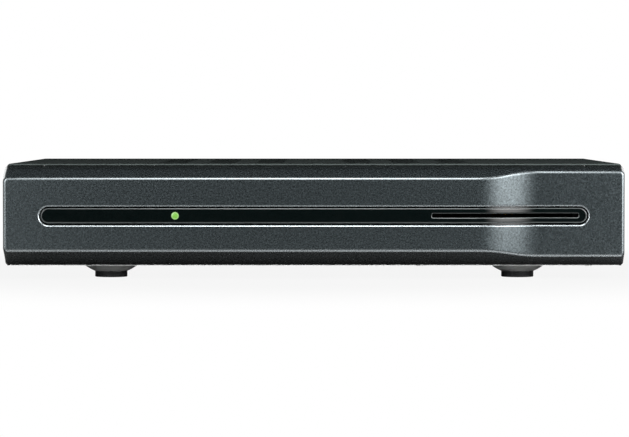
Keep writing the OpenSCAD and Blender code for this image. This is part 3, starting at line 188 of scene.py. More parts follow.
# Front moulding.
# Injection-moulded ABS under a dark blue-grey metallic paint. The face steps back in an S-curve on
# the right, slopes run back to the cover, and hooks on the lower lip snap into the tray.
moulding_low, moulding_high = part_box("front_bezel")
cover_low, cover_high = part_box("top_cover")
bar_low, bar_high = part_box("lens_bar")
face_y, seam_y = moulding_low.y, cover_low.y
low_z, top_z = moulding_low.z, moulding_high.z
bar_z = (bar_low.z + bar_high.z) / 2
side_in = 0.2 * mm
front_half = moulding_high.x - side_in
slope_run = seam_y - face_y
slope_drop, slope_ease = 5.0 * mm, 0.55
low_rise, low_ease = 6.2 * mm, 0.28
slope_places = (0.06, 0.25, 0.5, 0.75, 0.94)
step_start, step_length, step_depth = 67.5 * mm, 27.0 * mm, 5.0 * mm
step_radius = (step_length ** 2 + step_depth ** 2) / (4 * step_depth)
edge_r, side_edge_r, seam_edge_r = 1.5 * mm, 1.2 * mm, 0.3 * mm
seam_corner_r, slope_corner_r, face_corner_r = 1.3 * mm, 1.8 * mm, 0.9 * mm
support, support_corner_in = 0.25 * mm, 0.1 * mm
groove_half, groove_r, groove_edge_r = 114.6 * mm, 3.85 * mm, 0.65 * mm
groove_drop = 0.1 * mm
groove_z = bar_z - groove_drop
groove_centre = groove_half - groove_r
wall = 2.2 * mm
inner_top_gap, inner_corner_r = 0.6 * mm, 1.0 * mm
lip_depth, lip_wall, lip_half = 4.0 * mm, 1.5 * mm, 127.9 * mm
lip_under_cover, lip_over_low, lip_corner_r = 1.1 * mm, 1.0 * mm, 1.2 * mm
lip_top, lip_low = cover_high.z - lip_under_cover, low_z + lip_over_low
inner_half = lip_half - lip_wall
hook_places = (-86.67 * mm, -13.0 * mm, 43.33 * mm)
hook_half, hook_end = 4.5 * mm, moulding_high.y
hook_barb, barb_height = 1.5 * mm, 1.4 * mm
hook_lift, hook_edge = 0.05 * mm, 0.2 * mm
coarse_step, fine_step = 6.2 * mm, 0.5 * mm
seam_steps, fillet_steps, groove_steps = 3, 6, 4
flat_steps, corner_steps, side_steps = 3, 5, 8
end_points = 2 * (flat_steps + corner_steps) + side_steps - 1
top_band = 8.0 * mm
# Painted highlight: how much lighter the paint is made along the middle of each rounded edge.
top_highlight, side_highlight, groove_highlight, groove_top_highlight = 0.205, 0.22, 0.6, 0.95
highlight_narrow = 2.4


def columns_across(half):
    """Places across the front, close together where the face steps back."""
    fine = [step_start + fine_step * step for step in range(-2, int(step_length / fine_step) + 4)]
    count = round(2 * half / coarse_step)
    coarse = [-half + 2 * half * step / count for step in range(count + 1)]
    clear = [x for x in coarse if not fine[0] - fine_step < x < fine[-1] + fine_step]
    return sorted(clear + fine)


def step_back(x):
    """How far the face lies behind its left part: two arcs that meet halfway."""
    along = min(max(x - step_start, 0.0), step_length)
    if along <= step_length / 2:
        return step_radius - sqrt(step_radius ** 2 - along ** 2)
    return step_depth - step_radius + sqrt(step_radius ** 2 - (step_length - along) ** 2)


def face_at(x):
    """The face's y at a place across."""
    return face_y + step_back(x)


def inner_at(x):
    """The y of the front wall's back at a place across."""
    return face_at(x) + wall


def top_slope(y):
    """The height of the crowned upper slope."""
    share = (seam_y - y) / slope_run
    return top_z - slope_drop * share * (1 - slope_ease * (1 - share))


def low_slope(y):
    """The height of the crowned lower slope."""
    share = (seam_y - y) / slope_run
    return low_z + low_rise * share * (1 + low_ease * (1 - share))


def top_angle(y):
    """How steep the upper slope is."""
    share = (seam_y - y) / slope_run
    return atan(slope_drop * (1 - slope_ease + 2 * slope_ease * share) / slope_run)


def low_angle(y):
    """How steep the lower slope is."""
    share = (seam_y - y) / slope_run
    return atan(low_rise * (1 + low_ease - 2 * low_ease * share) / slope_run)


def edge_arc(x, share, slope, angle, upward):
    """A point (y, z) on the rounded edge of the face, from 0 at the slope to 1 at the face."""
    y = face_at(x)
    full_turn = pi / 2 - angle(y)
    inset = edge_r * tan(full_turn / 2)
    turn = full_turn * (1 - share)
    return (y + edge_r * (1 - cos(turn)), slope(y) + upward * (edge_r * sin(turn) - inset))


def top_edge(x, share):
    return edge_arc(x, share, top_slope, top_angle, 1)


def low_edge(x, share):
    return edge_arc(x, share, low_slope, low_angle, -1)


def front_loop(build, top, low, side_x, side_y, corner):
    """One closed loop round the front: top run, right end, bottom run and left end.

    top and low give (y, z) at a place across; side_y gives the ends' y at a place across."""
    points = [(x, *top(x)) for x in front_columns]
    ends = []
    for side in (1, -1):
        top_y, upper = top(side * front_half)
        low_y, lower = low(side * front_half)
        end_y = side_y(side * front_half)
        flat = side_x - corner - groove_centre
        end = [(groove_centre + flat * step / flat_steps, top_y, upper)
               for step in range(1, flat_steps + 1)]
        for step in range(1, corner_steps + 1):
            turn = pi / 2 * (1 - step / corner_steps)
            end.append((side_x - corner * (1 - cos(turn)), top_y + (end_y - top_y) * cos(turn) ** 2,
                        upper - corner * (1 - sin(turn))))
        drop = (upper - lower - 2 * corner) / side_steps
        end += [(side_x, end_y, upper - corner - drop * step) for step in range(1, side_steps + 1)]
        for step in range(1, corner_steps + 1):
            turn = pi / 2 * step / corner_steps
            end.append((side_x - corner * (1 - cos(turn)), low_y + (end_y - low_y) * cos(turn) ** 2,
                        lower + corner * (1 - sin(turn))))
        end += [(groove_centre + flat * step / flat_steps, low_y, lower)
                for step in range(flat_steps - 1, 0, -1)]
        ends.append([(side * x, y, z) for x, y, z in end])
    points += ends[0] + [(x, *low(x)) for x in reversed(front_columns)] + ends[1][::-1]
    return [build.verts.new(point) for point in points]


def groove_loop(build, grow, depth):
    """A closed loop with the groove's long round-ended outline, point for point like front_loop."""
    radius = groove_r + grow
    turns = [pi / 2 - pi * step / (end_points + 1) for step in range(1, end_points + 1)]
    right = [(groove_centre + radius * cos(turn), radius * sin(turn)) for turn in turns]
    flat = ([(x, radius) for x in front_columns] + right + [(x, -radius) for x in reversed(front_columns)]
            + [(-x, z) for x, z in right[::-1]])
    return [build.verts.new((x, face_at(x) + depth, groove_z + z)) for x, z in flat]


def mark_edge_highlight(loop, edge_highlight_mark, share, highlight_gain=1.0, narrow=1.0):
    """Mark a loop for a painted highlight by how near it is to the middle of a rounded edge, less so along
    the top.

    At the two ends the mark sits nearer the face. A higher narrow gives a finer line."""
    for vert in loop:
        if abs(vert.co.x) > front_half - side_edge_r:
            vert[edge_highlight_mark] = side_highlight * max(0.0, sin(2 * pi * (share - 0.5)))
        elif vert.co.z > top_z - top_band:
            vert[edge_highlight_mark] = top_highlight * sin(pi * share) ** narrow
        else:
            vert[edge_highlight_mark] = highlight_gain * sin(pi * share) ** narrow


def join_loops(build, loops, closed=False):
    """Faces between each loop and the next."""
    for first, second in zip(loops, loops[1:] + loops[:1] if closed else loops[1:]):
        for step in range(len(first)):
            after = (step + 1) % len(first)
            build.faces.new((first[step], first[after], second[after], second[step]))


def rounded_block(build, low, high, edge):
    """A block with all its edges eased."""
    part = bmesh.new()
    bmesh.ops.create_cube(part, size=1.0)
    for vert in part.verts:
        vert.co = [low[axis] + (high[axis] - low[axis]) * (vert.co[axis] + 0.5) for axis in range(3)]
    bmesh.ops.bevel(part, geom=part.edges[:], offset=edge, segments=2, profile=0.5, affect="EDGES")
    spare = bpy.data.meshes.new("spare")
    part.to_mesh(spare)
    part.free()
    build.from_mesh(spare)
    bpy.data.meshes.remove(spare)


front_columns = columns_across(groove_centre)
build = bmesh.new()
edge_highlight_mark = build.verts.layers.float.new("edge")
loops = []
for step in range(seam_steps + 1):
    turn = pi / 2 * step / seam_steps
    out = seam_edge_r * (1 - sin(turn))
    back = seam_y - seam_edge_r * (1 - cos(turn))
    loops.append(front_loop(
        build, lambda x: (back, top_slope(back) - out), lambda x: (back, low_slope(back) + out),
        front_half - out, lambda x: back, seam_corner_r - out))
for share in slope_places:
    def along_slope(x, edge, slope):
        y = seam_y - seam_edge_r + (edge(x, 0)[0] - seam_y + seam_edge_r) * share
        return (y, slope(y))
    loops.append(front_loop(
        build, lambda x: along_slope(x, top_edge, top_slope), lambda x: along_slope(x, low_edge, low_slope),
        front_half, lambda x: seam_y + (face_at(x) + side_edge_r - seam_y) * share,
        seam_corner_r + (slope_corner_r - seam_corner_r) * share))
# The face's rounded edges are marked for a painted highlight.
for step in range(fillet_steps + 1):
    share = step / fillet_steps
    turn = pi / 2 * (1 - share)
    loops.append(front_loop(
        build, lambda x: top_edge(x, share), lambda x: low_edge(x, share),
        front_half - side_edge_r * (1 - sin(turn)), lambda x: face_at(x) + side_edge_r * (1 - cos(turn)),
        slope_corner_r + (face_corner_r - slope_corner_r) * share))
    mark_edge_highlight(loops[-1], edge_highlight_mark, share, narrow=highlight_narrow)
loops.append(front_loop(
    build, lambda x: (face_at(x), top_edge(x, 1)[1] - support),
    lambda x: (face_at(x), low_edge(x, 1)[1] + support), front_half - side_edge_r - support,
    face_at, face_corner_r - support_corner_in))
loops.append(groove_loop(build, groove_edge_r + support, 0))
# The groove's rounded rim is marked for a painted highlight, stronger along its upper side.
for step in range(groove_steps + 1):
    share = step / groove_steps
    turn = pi / 2 * share
    loops.append(groove_loop(build, groove_edge_r * (1 - sin(turn)), groove_edge_r * (1 - cos(turn))))
    mark_edge_highlight(loops[-1], edge_highlight_mark, share, groove_highlight)
    mark_edge_highlight([vert for vert in loops[-1] if vert.co.z > groove_z], edge_highlight_mark, share, groove_top_highlight)
loops.append(groove_loop(build, 0, groove_edge_r + support))
loops.append(groove_loop(build, 0, wall))
loops.append(front_loop(
    build, lambda x: (inner_at(x), top_slope(inner_at(x)) - wall - inner_top_gap),
    lambda x: (inner_at(x), low_slope(inner_at(x)) + wall), inner_half, inner_at, inner_corner_r))
for y, inset in ((seam_y + lip_depth, lip_wall), (seam_y + lip_depth, 0), (seam_y, 0)):
    loops.append(front_loop(build, lambda x: (y, lip_top - inset), lambda x: (y, lip_low + inset),
                            lip_half - inset, lambda x: y, lip_corner_r))
join_loops(build, loops, closed=True)
for x in hook_places:
    rounded_block(build, (x - hook_half, seam_y + lip_depth - lip_wall, lip_low + hook_lift),
                  (x + hook_half, hook_end, lip_low + lip_wall), hook_edge)
    rounded_block(build, (x - hook_half, hook_end - hook_barb, lip_low + lip_wall / 2),
                  (x + hook_half, hook_end, lip_low + lip_wall + barb_height), hook_edge)


def add_node(tree, kind, **values):
    """A shader node with its operation or sockets set by name."""
    node = tree.nodes.new(kind)
    for key, value in values.items():
        if key in node.inputs:
            node.inputs[key].default_value = value
        else:
            setattr(node, key, value)
    return node


def smooth_step(tree, source, start, end, first=0.0, last=1.0):
    """A smooth change from first to last as source runs from start to end."""
    step = add_node(tree, "ShaderNodeMapRange", interpolation_type="SMOOTHSTEP")
    for socket, value in (("From Min", start), ("From Max", end), ("To Min", first), ("To Max", last)):
        step.inputs[socket].default_value = value
    tree.links.new(source, step.inputs["Value"])
    return step.outputs["Result"]


def split_place(tree, kind="Object"):
    """The X, Y and Z of the place on the piece."""
    place = add_node(tree, "ShaderNodeTexCoord")
    split = add_node(tree, "ShaderNodeSeparateXYZ")
    tree.links.new(place.outputs[kind], split.inputs["Vector"])
    return split.outputs


metallic, metallic_shader = new_finish("front metallic paint", (0.052, 0.065, 0.07), roughness=0.26,
                                       metallic=0.75)
metallic_shader.inputs["Coat Weight"].default_value = 0.3
metallic_shader.inputs["Coat Roughness"].default_value = 0.1
# Painted highlight: the paint is made lighter where the rounded edges are marked.
edge_highlight_colour = (0.76, 0.83, 0.86, 1.0)
# How dark the painted shade towards the seam with the cover gets, and over how far.
seam_shade, seam_fade = 0.12, 7.0 * mm
tree = metallic.node_tree
flakes = grain(metallic, 0.7 * mm)
painted_edge_highlight = add_node(tree, "ShaderNodeMixRGB", Color2=edge_highlight_colour)
edge_highlight_share = add_node(tree, "ShaderNodeAttribute", attribute_name="edge")
tree.links.new(edge_highlight_share.outputs["Fac"], painted_edge_highlight.inputs["Fac"])
vary(metallic, flakes, painted_edge_highlight.inputs["Color1"],
     (0.022, 0.029, 0.031), (0.08, 0.098, 0.105), low=0.28, high=0.72)
# Painted shade: the paint darkens over its last 7 mm before the cover.
seam_painted_shade = add_node(tree, "ShaderNodeHueSaturation")
tree.links.new(painted_edge_highlight.outputs["Color"], seam_painted_shade.inputs["Color"])
tree.links.new(smooth_step(tree, split_place(tree)["Y"], seam_y - seam_fade, seam_y, 1.0, seam_shade),
               seam_painted_shade.inputs["Value"])
tree.links.new(seam_painted_shade.outputs["Color"], metallic_shader.inputs["Base Color"])
mottle(metallic, metallic_shader, "Roughness", 0.9 * mm, 0.22, 0.3)
emboss(metallic, metallic_shader, flakes, height=0.012 * mm, strength=0.5)
piece = add_piece("front_moulding", build, "case", "front_bezel", slot="front_metallic")
piece.data.materials.append(metallic)

# Lens bar.
# A long round-ended bar of black acrylic, glued by its flange behind the groove, so smooth that it
# mirrors the room. The card slot and the light's hole are cut through it.
bar_half, bar_r, bar_edge_r = 114.0 * mm, 3.15 * mm, 0.45 * mm
bar_front_depth, bar_depth, flange_over = 2.3 * mm, 3.8 * mm, 3.8 * mm
slot_x, slot_half, slot_high = 79.75 * mm, 30.7 * mm, 0.85 * mm
slot_edge_r, slot_corner_r = 0.32 * mm, 0.5 * mm
light_x, light_hole_r, light_edge = -58.0 * mm, 1.58 * mm, 0.12 * mm
rim_steps, slot_corner_steps, bar_end_steps, light_turns = 4, 4, 24, 40
same_column, slot_flat = 0.01 * mm, 0.1 * mm
merge_within = 0.0001 * mm
# The painted highlight on the upper rims of the bar and slot is half as strong as on the lower rims.
upper_highlight = 0.5
bar_centre = bar_half - bar_r
bar_columns = columns_across(bar_centre)
slot_columns = [x for x in bar_columns
                if slot_x - slot_half + slot_corner_r < x < slot_x + slot_half - slot_corner_r]


def bar_outline(grow):
    """The bar's round-ended outline, grown or shrunk."""
    radius = bar_r + grow
    end = arc_points(bar_centre, 0, radius, 90, -90, bar_end_steps)[1:-1]
    return ([(x, radius) for x in bar_columns] + end + [(x, -radius) for x in reversed(bar_columns)]
            + [(-x, -z) for x, z in end])


def slot_outline(grow):
    """The card slot's outline with eased corners."""
    half, high, corner = slot_half + grow, slot_high + grow, slot_corner_r + grow
    right, left = slot_x + half - corner, slot_x - half + corner
    return ([(x, high) for x in slot_columns]
            + arc_points(right, high - corner, corner, 90, 0, slot_corner_steps)
            + arc_points(right, corner - high, corner, 0, -90, slot_corner_steps)
            + [(x, -high) for x in reversed(slot_columns)]
            + arc_points(left, corner - high, corner, -90, -180, slot_corner_steps)
            + arc_points(left, high - corner, corner, 180, 90, slot_corner_steps))


def light_outline(grow):
    """The round hole for the light."""
    return arc_points(light_x, 0, light_hole_r + grow, 0, 360 * (1 - 1 / light_turns), light_turns - 1)


def bar_loop(build, outline, depth):
    """A closed loop behind the face, which it follows round the step."""
    return [build.verts.new((x, face_at(x) + depth, bar_z + z)) for x, z in outline]


def rim_loops(build, outline, radius, way):
    """Loops down a rounded front edge; way is -1 round the bar and 1 round a hole in it."""
    turns = [pi / 2 * step / rim_steps for step in range(rim_steps + 1)]
    return [bar_loop(build, outline(way * radius * (1 - sin(turn))), radius * (1 - cos(turn)))
            for turn in turns]


def bar_face(build, outer, holes):
    """Fill between the outer loop and the holes, with a crease at each column of the step."""
    loops = [outer, *holes]
    verts = [vert for loop in loops for vert in loop]
    flat = [Vector((vert.co.x, vert.co.z)) for vert in verts]
    edges, start = [], 0
    for loop in loops:
        edges += [(start + step, start + (step + 1) % len(loop)) for step in range(len(loop))]
        start += len(loop)
    place = {vert: index for index, vert in enumerate(verts)}
    slot = holes[0]
    for side in (1, -1):
        for bar_vert in outer:
            for slot_vert in slot:
                lined_up = abs(bar_vert.co.x - slot_vert.co.x) < same_column
                same_side = (bar_vert.co.z - bar_z) * side > 0 and (slot_vert.co.z - bar_z) * side > 0
                if lined_up and same_side and abs(slot_vert.co.z - bar_z) > slot_high - slot_flat:
                    edges.append((place[bar_vert], place[slot_vert]))
    corners, _, triangles, *_ = delaunay_2d_cdt(flat, edges, [], 0, merge_within)
    rings = [[vert.co.xz for vert in loop] for loop in loops]
    for triangle in triangles:
        middle = sum((corners[index] for index in triangle), Vector((0, 0))) / 3
        if inside(middle, rings[0]) and not any(inside(middle, ring) for ring in rings[1:]):
            build.faces.new([verts[index] for index in triangle])


def inside(point, ring):
    """Even-odd test of a point in a closed outline."""
    count = 0
    for first, second in zip(ring, ring[1:] + ring[:1]):
        if (first.y > point.y) != (second.y > point.y):
            share = (point.y - first.y) / (second.y - first.y)
            count += first.x + share * (second.x - first.x) > point.x
    return count % 2 == 1


build = bmesh.new()
edge_highlight_mark = build.verts.layers.float.new("edge")
bar_loops = [bar_loop(build, bar_outline(-bar_edge_r - support), 0),
             *rim_loops(build, bar_outline, bar_edge_r, -1),
             bar_loop(build, bar_outline(0), bar_front_depth),
             bar_loop(build, bar_outline(flange_over), bar_front_depth),
             bar_loop(build, bar_outline(flange_over), bar_depth)]
slot_loops = [bar_loop(build, slot_outline(slot_edge_r + support), 0),
              *rim_loops(build, slot_outline, slot_edge_r, 1),
              bar_loop(build, slot_outline(0), bar_depth)]
light_loops = [bar_loop(build, light_outline(light_edge + support), 0),
               bar_loop(build, light_outline(light_edge), 0),
               bar_loop(build, light_outline(0), light_edge),
               bar_loop(build, light_outline(0), bar_depth)]
# The rims of the bar and of the card slot are marked for a painted highlight.
for loops in (bar_loops, slot_loops):
    for step, loop in enumerate(loops[1:rim_steps + 2]):
        mark_edge_highlight(loop, edge_highlight_mark, step / rim_steps)
        mark_edge_highlight([vert for vert in loop if vert.co.z > bar_z], edge_highlight_mark, step / rim_steps, upper_highlight)
for loops in (bar_loops, slot_loops, light_loops):
    join_loops(build, loops)
bar_face(build, bar_loops[0], [slot_loops[0], light_loops[0]])
bar_face(build, bar_loops[-1], [slot_loops[-1], light_loops[-1]])
acrylic, acrylic_shader = new_finish("black acrylic", (0.0015, 0.003, 0.003), roughness=0.1)
# Painted highlight: the acrylic is made lighter along the marked rims.
bar_edge_highlight = add_node(acrylic.node_tree, "ShaderNodeAttribute", attribute_name="edge")
vary(acrylic, bar_edge_highlight.outputs["Fac"], acrylic_shader.inputs["Base Color"],
     (0.0015, 0.003, 0.003), (0.13, 0.145, 0.145), low=0.0, high=1.0)
mottle(acrylic, acrylic_shader, "Roughness", 3.0 * mm, 0.07, 0.12)
emboss(acrylic, acrylic_shader, grain(acrylic, 14.0 * mm, detail=1.0), height=0.012 * mm)
piece = add_piece("front_lens_bar", build, "case", "lens_bar", slot="lens_black")
piece.data.materials.append(acrylic)

# Light pipe and the lamp behind it.
# Clear green acrylic turned to a round pin with a domed end and a collar that stops it in the bar.
# The green lamp on the front board shines through it and fills the end with light.
light_r, light_dome, light_side = 1.48 * mm, 0.25 * mm, 0.1 * mm
collar_r, collar_t = 2.65 * mm, 1.0 * mm
dome_places = (0, 0.25, 0.5, 0.7, 0.85, 0.95)
pipe_turns = 48


def spin_y(build, profile, place, turns):
    """Revolve (radius, depth) points about a line along Y, in a mesh that is still empty."""
    spin(build, profile, Vector((0, 0, 0)), turns)
    for vert in build.verts:
        vert.co = place + Vector((vert.co.x, vert.co.z, vert.co.y))


build = bmesh.new()
spin_y(build, [(light_r * share, light_dome * share ** 2) for share in dome_places]
       + [(light_r, light_dome + light_side), (light_r, bar_depth), (collar_r, bar_depth),
          (collar_r, bar_depth + collar_t), (0, bar_depth + collar_t)],
       Vector((light_x, face_y, bar_z)), pipe_turns)
green, green_shader = new_finish("lit green acrylic", (0.05, 0.12, 0.03), roughness=0.25)
green_shader.inputs["Emission Strength"].default_value = 1.0
tree = green.node_tree
place = add_node(tree, "ShaderNodeTexCoord")
flatten = add_node(tree, "ShaderNodeVectorMath", operation="MULTIPLY")
flatten.inputs[1].default_value = (1.0, 0.0, 1.0)
tree.links.new(place.outputs["Object"], flatten.inputs[0])
off_centre = add_node(tree, "ShaderNodeVectorMath", operation="DISTANCE")
off_centre.inputs[1].default_value = (light_x, 0.0, bar_z)
tree.links.new(flatten.outputs["Vector"], off_centre.inputs[0])
reach = add_node(tree, "ShaderNodeMapRange")
reach.inputs["From Max"].default_value = light_r
tree.links.new(off_centre.outputs["Value"], reach.inputs["Value"])
vary(green, reach.outputs["Result"], green_shader.inputs["Emission Color"],
     (0.15, 0.37, 0.03), (0.3, 0.5, 0.18), low=0.6, high=0.95)
mottle(green, green_shader, "Roughness", 0.6 * mm, 0.2, 0.32)
piece = add_piece("green_light_pipe", build, "case", "light_pipe", slot="light_green")
piece.data.materials.append(green)
lamp_green, lamp_shader = new_finish("lamp epoxy", (0.2, 0.5, 0.12), roughness=0.25)
mottle(lamp_green, lamp_shader, "Base Color", 0.8 * mm, (0.16, 0.44, 0.1), (0.24, 0.55, 0.15))
dress(lamp_green, "status_led")

# Circuit boards.
# Green glass-epoxy for the main and front boards, tan paper board for the power supply.
# The resin's weave and the copper tracks under the green lacquer show as fine changes of shade.
board_green, board_shader = new_finish("green board", (0.02, 0.16, 0.07), roughness=0.38)
vary(board_green, grain(board_green, 3.0 * mm, stretch=(1.0, 0.25, 1.0)), board_shader.inputs["Base Color"],
     (0.014, 0.12, 0.05), (0.03, 0.2, 0.09), low=0.42, high=0.58)
emboss(board_green, board_shader, grain(board_green, 0.6 * mm), height=0.02 * mm)
dress(board_green, "main_board", "front_board")
board_tan, tan_shader = new_finish("tan paper board", (0.5, 0.33, 0.16), roughness=0.6)
mottle(board_tan, tan_shader, "Base Color", 1.2 * mm, (0.42, 0.27, 0.12), (0.56, 0.38, 0.2))
emboss(board_tan, tan_shader, grain(board_tan, 0.5 * mm), height=0.02 * mm)
dress(board_tan, "supply_board")

# Standoffs, screws and small white mouldings.
# Turned brass pillars, zinc-plated screws, and natural nylon pillars, sockets and plunger.
# Turning marks run round the brass; the nylon is slightly mottled and waxy.
brass, brass_shader = new_finish("turned brass", (0.72, 0.5, 0.2), roughness=0.32, metallic=1.0)
vary(brass, grain(brass, 0.3 * mm, stretch=(0.2, 0.2, 1.0)), brass_shader.inputs["Roughness"], 0.25, 0.42)
mottle(brass, brass_shader, "Base Color", 1.5 * mm, (0.66, 0.45, 0.17), (0.76, 0.54, 0.24))
dress(brass, "main_standoffs")
nylon, nylon_shader = new_finish("natural nylon", (0.72, 0.7, 0.64), roughness=0.45)
mottle(nylon, nylon_shader, "Base Color", 2.0 * mm, (0.67, 0.65, 0.58), (0.76, 0.74, 0.69))
emboss(nylon, nylon_shader, grain(nylon, 0.4 * mm), height=0.015 * mm)
dress(nylon, "supply_standoffs", "cable_sockets", "switch_plunger", "contact_block")
bright, bright_shader = new_finish("plated screw", (0.62, 0.62, 0.6), roughness=0.3, metallic=1.0)
mottle(bright, bright_shader, "Base Color", 0.8 * mm, (0.54, 0.54, 0.52), (0.68, 0.68, 0.65))
mottle(bright, bright_shader, "Roughness", 0.3 * mm, 0.24, 0.4)
dress(bright, "main_screws", "supply_screws", "front_screws", "bracket_screws", "reader_screws",
      "base_screws")

# Tuner can, sockets, fuse clips and inlet pins.
# Tinned steel, drawn and folded; the threaded barrels and pins are turned and plated.
# Tin has a soft, slightly cloudy shine.
tin, tin_shader = new_finish("tinned steel", (0.66, 0.66, 0.64), roughness=0.3, metallic=1.0)
mottle(tin, tin_shader, "Base Color", 4.0 * mm, (0.58, 0.58, 0.56), (0.7, 0.7, 0.68))
mottle(tin, tin_shader, "Roughness", 1.0 * mm, 0.24, 0.4)
dress(tin, "tuner_can", "rf_in_socket", "rf_out_socket", "fuse_clips", "inlet_pins")

# Black and orange mouldings: sockets, mains inlet, switch, rocker and card reader.
# Glass-filled nylon and ABS, moulded in their colour with a fine spark-eroded skin.
# The rocker is the one that moves: it snaps into the switch's frame and tips about its pins.
black, black_shader = new_finish("black moulding", (0.018, 0.018, 0.019), roughness=0.48)
mottle(black, black_shader, "Base Color", 1.2 * mm, (0.014, 0.014, 0.015), (0.026, 0.026, 0.027))
emboss(black, black_shader, grain(black, 0.25 * mm), height=0.02 * mm)
dress(black, "tv_scart", "vcr_scart", "mains_inlet", "mains_switch", "mains_rocker", "infrared_receiver")
# Painted shade: the card reader's tray and lid are made far darker than the other black mouldings, so the
# card slot shows dark.
reader_shade_black, reader_shade_black_shader = new_finish("reader black moulding, painted shade", (0.003, 0.003, 0.003), roughness=0.8)
reader_shade_black_shader.inputs["Specular IOR Level"].default_value = 0.1
mottle(reader_shade_black, reader_shade_black_shader, "Base Color", 1.2 * mm, (0.002, 0.002, 0.002), (0.005, 0.005, 0.005))
emboss(reader_shade_black, reader_shade_black_shader, grain(reader_shade_black, 0.25 * mm), height=0.02 * mm)
dress(reader_shade_black, "reader_tray", "reader_lid")
orange, orange_shader = new_finish("orange moulding", (0.65, 0.17, 0.03), roughness=0.42)
mottle(orange, orange_shader, "Base Color", 1.5 * mm, (0.58, 0.14, 0.022), (0.72, 0.2, 0.04))
emboss(orange, orange_shader, grain(orange, 0.3 * mm), height=0.02 * mm)
dress(orange, "audio_jack")

# Parts on the boards.
# Moulded chips, extruded aluminium sinks, sleeved capacitors, and a ferrite transformer with its
# taped coil, each with the finish of its own stuff.
chip, chip_shader = new_finish("chip epoxy", (0.02, 0.02, 0.021), roughness=0.55)
mottle(chip, chip_shader, "Base Color", 0.5 * mm, (0.015, 0.015, 0.016), (0.028, 0.028, 0.029))
emboss(chip, chip_shader, grain(chip, 0.2 * mm), height=0.015 * mm)
dress(chip, "main_processor", "memory_chips")
sink, sink_shader = new_finish("extruded aluminium", (0.62, 0.63, 0.64), roughness=0.38, metallic=1.0)
vary(sink, grain(sink, 0.4 * mm, stretch=(0.05, 1.0, 1.0)), sink_shader.inputs["Roughness"], 0.3, 0.5)
mottle(sink, sink_shader, "Base Color", 2.0 * mm, (0.56, 0.57, 0.58), (0.66, 0.67, 0.68))
dress(sink, "processor_sink", "supply_sink")
sleeve, sleeve_shader = new_finish("shrunk sleeve", (0.03, 0.04, 0.11), roughness=0.3)
mottle(sleeve, sleeve_shader, "Base Color", 3.0 * mm, (0.024, 0.032, 0.09), (0.04, 0.05, 0.13))
emboss(sleeve, sleeve_shader, grain(sleeve, 1.5 * mm), height=0.03 * mm)
dress(sleeve, "board_capacitors", "bulk_capacitor", "output_capacitors")
ferrite, ferrite_shader = new_finish("ferrite", (0.045, 0.045, 0.048), roughness=0.5)
mottle(ferrite, ferrite_shader, "Base Color", 0.7 * mm, (0.035, 0.035, 0.037), (0.06, 0.06, 0.063))
emboss(ferrite, ferrite_shader, grain(ferrite, 0.4 * mm), height=0.03 * mm)
dress(ferrite, "transformer_core")
enamel, enamel_shader = new_finish("enamelled winding", (0.45, 0.14, 0.035), roughness=0.28, metallic=0.7)
vary(enamel, grain(enamel, 0.6 * mm, stretch=(1.0, 1.0, 0.3)), enamel_shader.inputs["Base Color"],
     (0.34, 0.1, 0.022), (0.55, 0.19, 0.05))
emboss(enamel, enamel_shader, grain(enamel, 0.6 * mm, stretch=(1.0, 1.0, 0.3)), height=0.08 * mm)
dress(enamel, "mains_choke")
tape, tape_shader = new_finish("coil tape", (0.72, 0.58, 0.1), roughness=0.35)
vary(tape, grain(tape, 3.0 * mm, stretch=(0.3, 1.0, 1.0)), tape_shader.inputs["Base Color"],
     (0.66, 0.52, 0.08), (0.77, 0.63, 0.13))
emboss(tape, tape_shader, grain(tape, 1.0 * mm, stretch=(0.3, 1.0, 1.0)), height=0.03 * mm)
dress(tape, "transformer_coil")
glass, glass_shader = new_finish("fuse glass", (0.86, 0.9, 0.88), roughness=0.06)
glass_shader.inputs["Transmission Weight"].default_value = 0.85
glass_shader.inputs["IOR"].default_value = 1.5
mottle(glass, glass_shader, "Roughness", 1.0 * mm, 0.04, 0.1)
dress(glass, "fuse")
gold, gold_shader = new_finish("gold contact", (0.83, 0.6, 0.2), roughness=0.25, metallic=1.0)
mottle(gold, gold_shader, "Roughness", 0.5 * mm, 0.2, 0.34)
dress(gold, "card_contacts")
brown, brown_shader = new_finish("brown moulding", (0.17, 0.08, 0.035), roughness=0.5)
mottle(brown, brown_shader, "Base Color", 1.0 * mm, (0.14, 0.062, 0.026), (0.2, 0.1, 0.046))
dress(brown, "card_switch")

# Wiring.
# A white ribbon between the boards, a red harness to the main board, and brown mains leads.
# All have soft PVC skins.
skin_dark, skin_light = 0.88, 1.1
for name, node, colour in (("ribbon skin", "ribbon_cable", (0.7, 0.7, 0.68)),
                           ("red wire skin", "power_harness", (0.5, 0.03, 0.025)),
                           ("brown wire skin", "mains_leads", (0.16, 0.07, 0.03))):
    skin, skin_shader = new_finish(name, colour, roughness=0.4)
    mottle(skin, skin_shader, "Base Color", 1.4 * mm, tuple(skin_dark * share for share in colour),
           tuple(skin_light * share for share in colour))
    emboss(skin, skin_shader, grain(skin, 0.5 * mm), height=0.02 * mm)
    dress(skin, node)

# Top cover and its screws.
# Sheet steel folded down both sides and at the rear, stamped with vents, then powder-coated in a
# fine dark texture; three black screws hold it to the rear panel.
# Painted highlight along the cover's cut front edge: how much lighter, and where the band lies.
cut_edge_highlight_gain, highlight_band_start, highlight_band_end = 3.0, 0.25 * mm, 0.6 * mm
cut_front, cut_back = 0.02 * mm, 0.12 * mm
soft_low, soft_high = 0.8, 1.2
vent_first, vent_pitch, vent_half = 18.8 * mm, 20.6 * mm, 6.0 * mm
vents_out, vents_clear, vents_fade = 70.0 * mm, 19.3 * mm, 1.0 * mm
column_inner, column_outer = 0.97, 1.03
sunk_from, sunk_to = 0.001 * mm, 0.012 * mm
# How much the painted shade darkens the vent slots' walls and the strips between them.
slot_painted_shade, strip_painted_shade = 0.12, 0.72


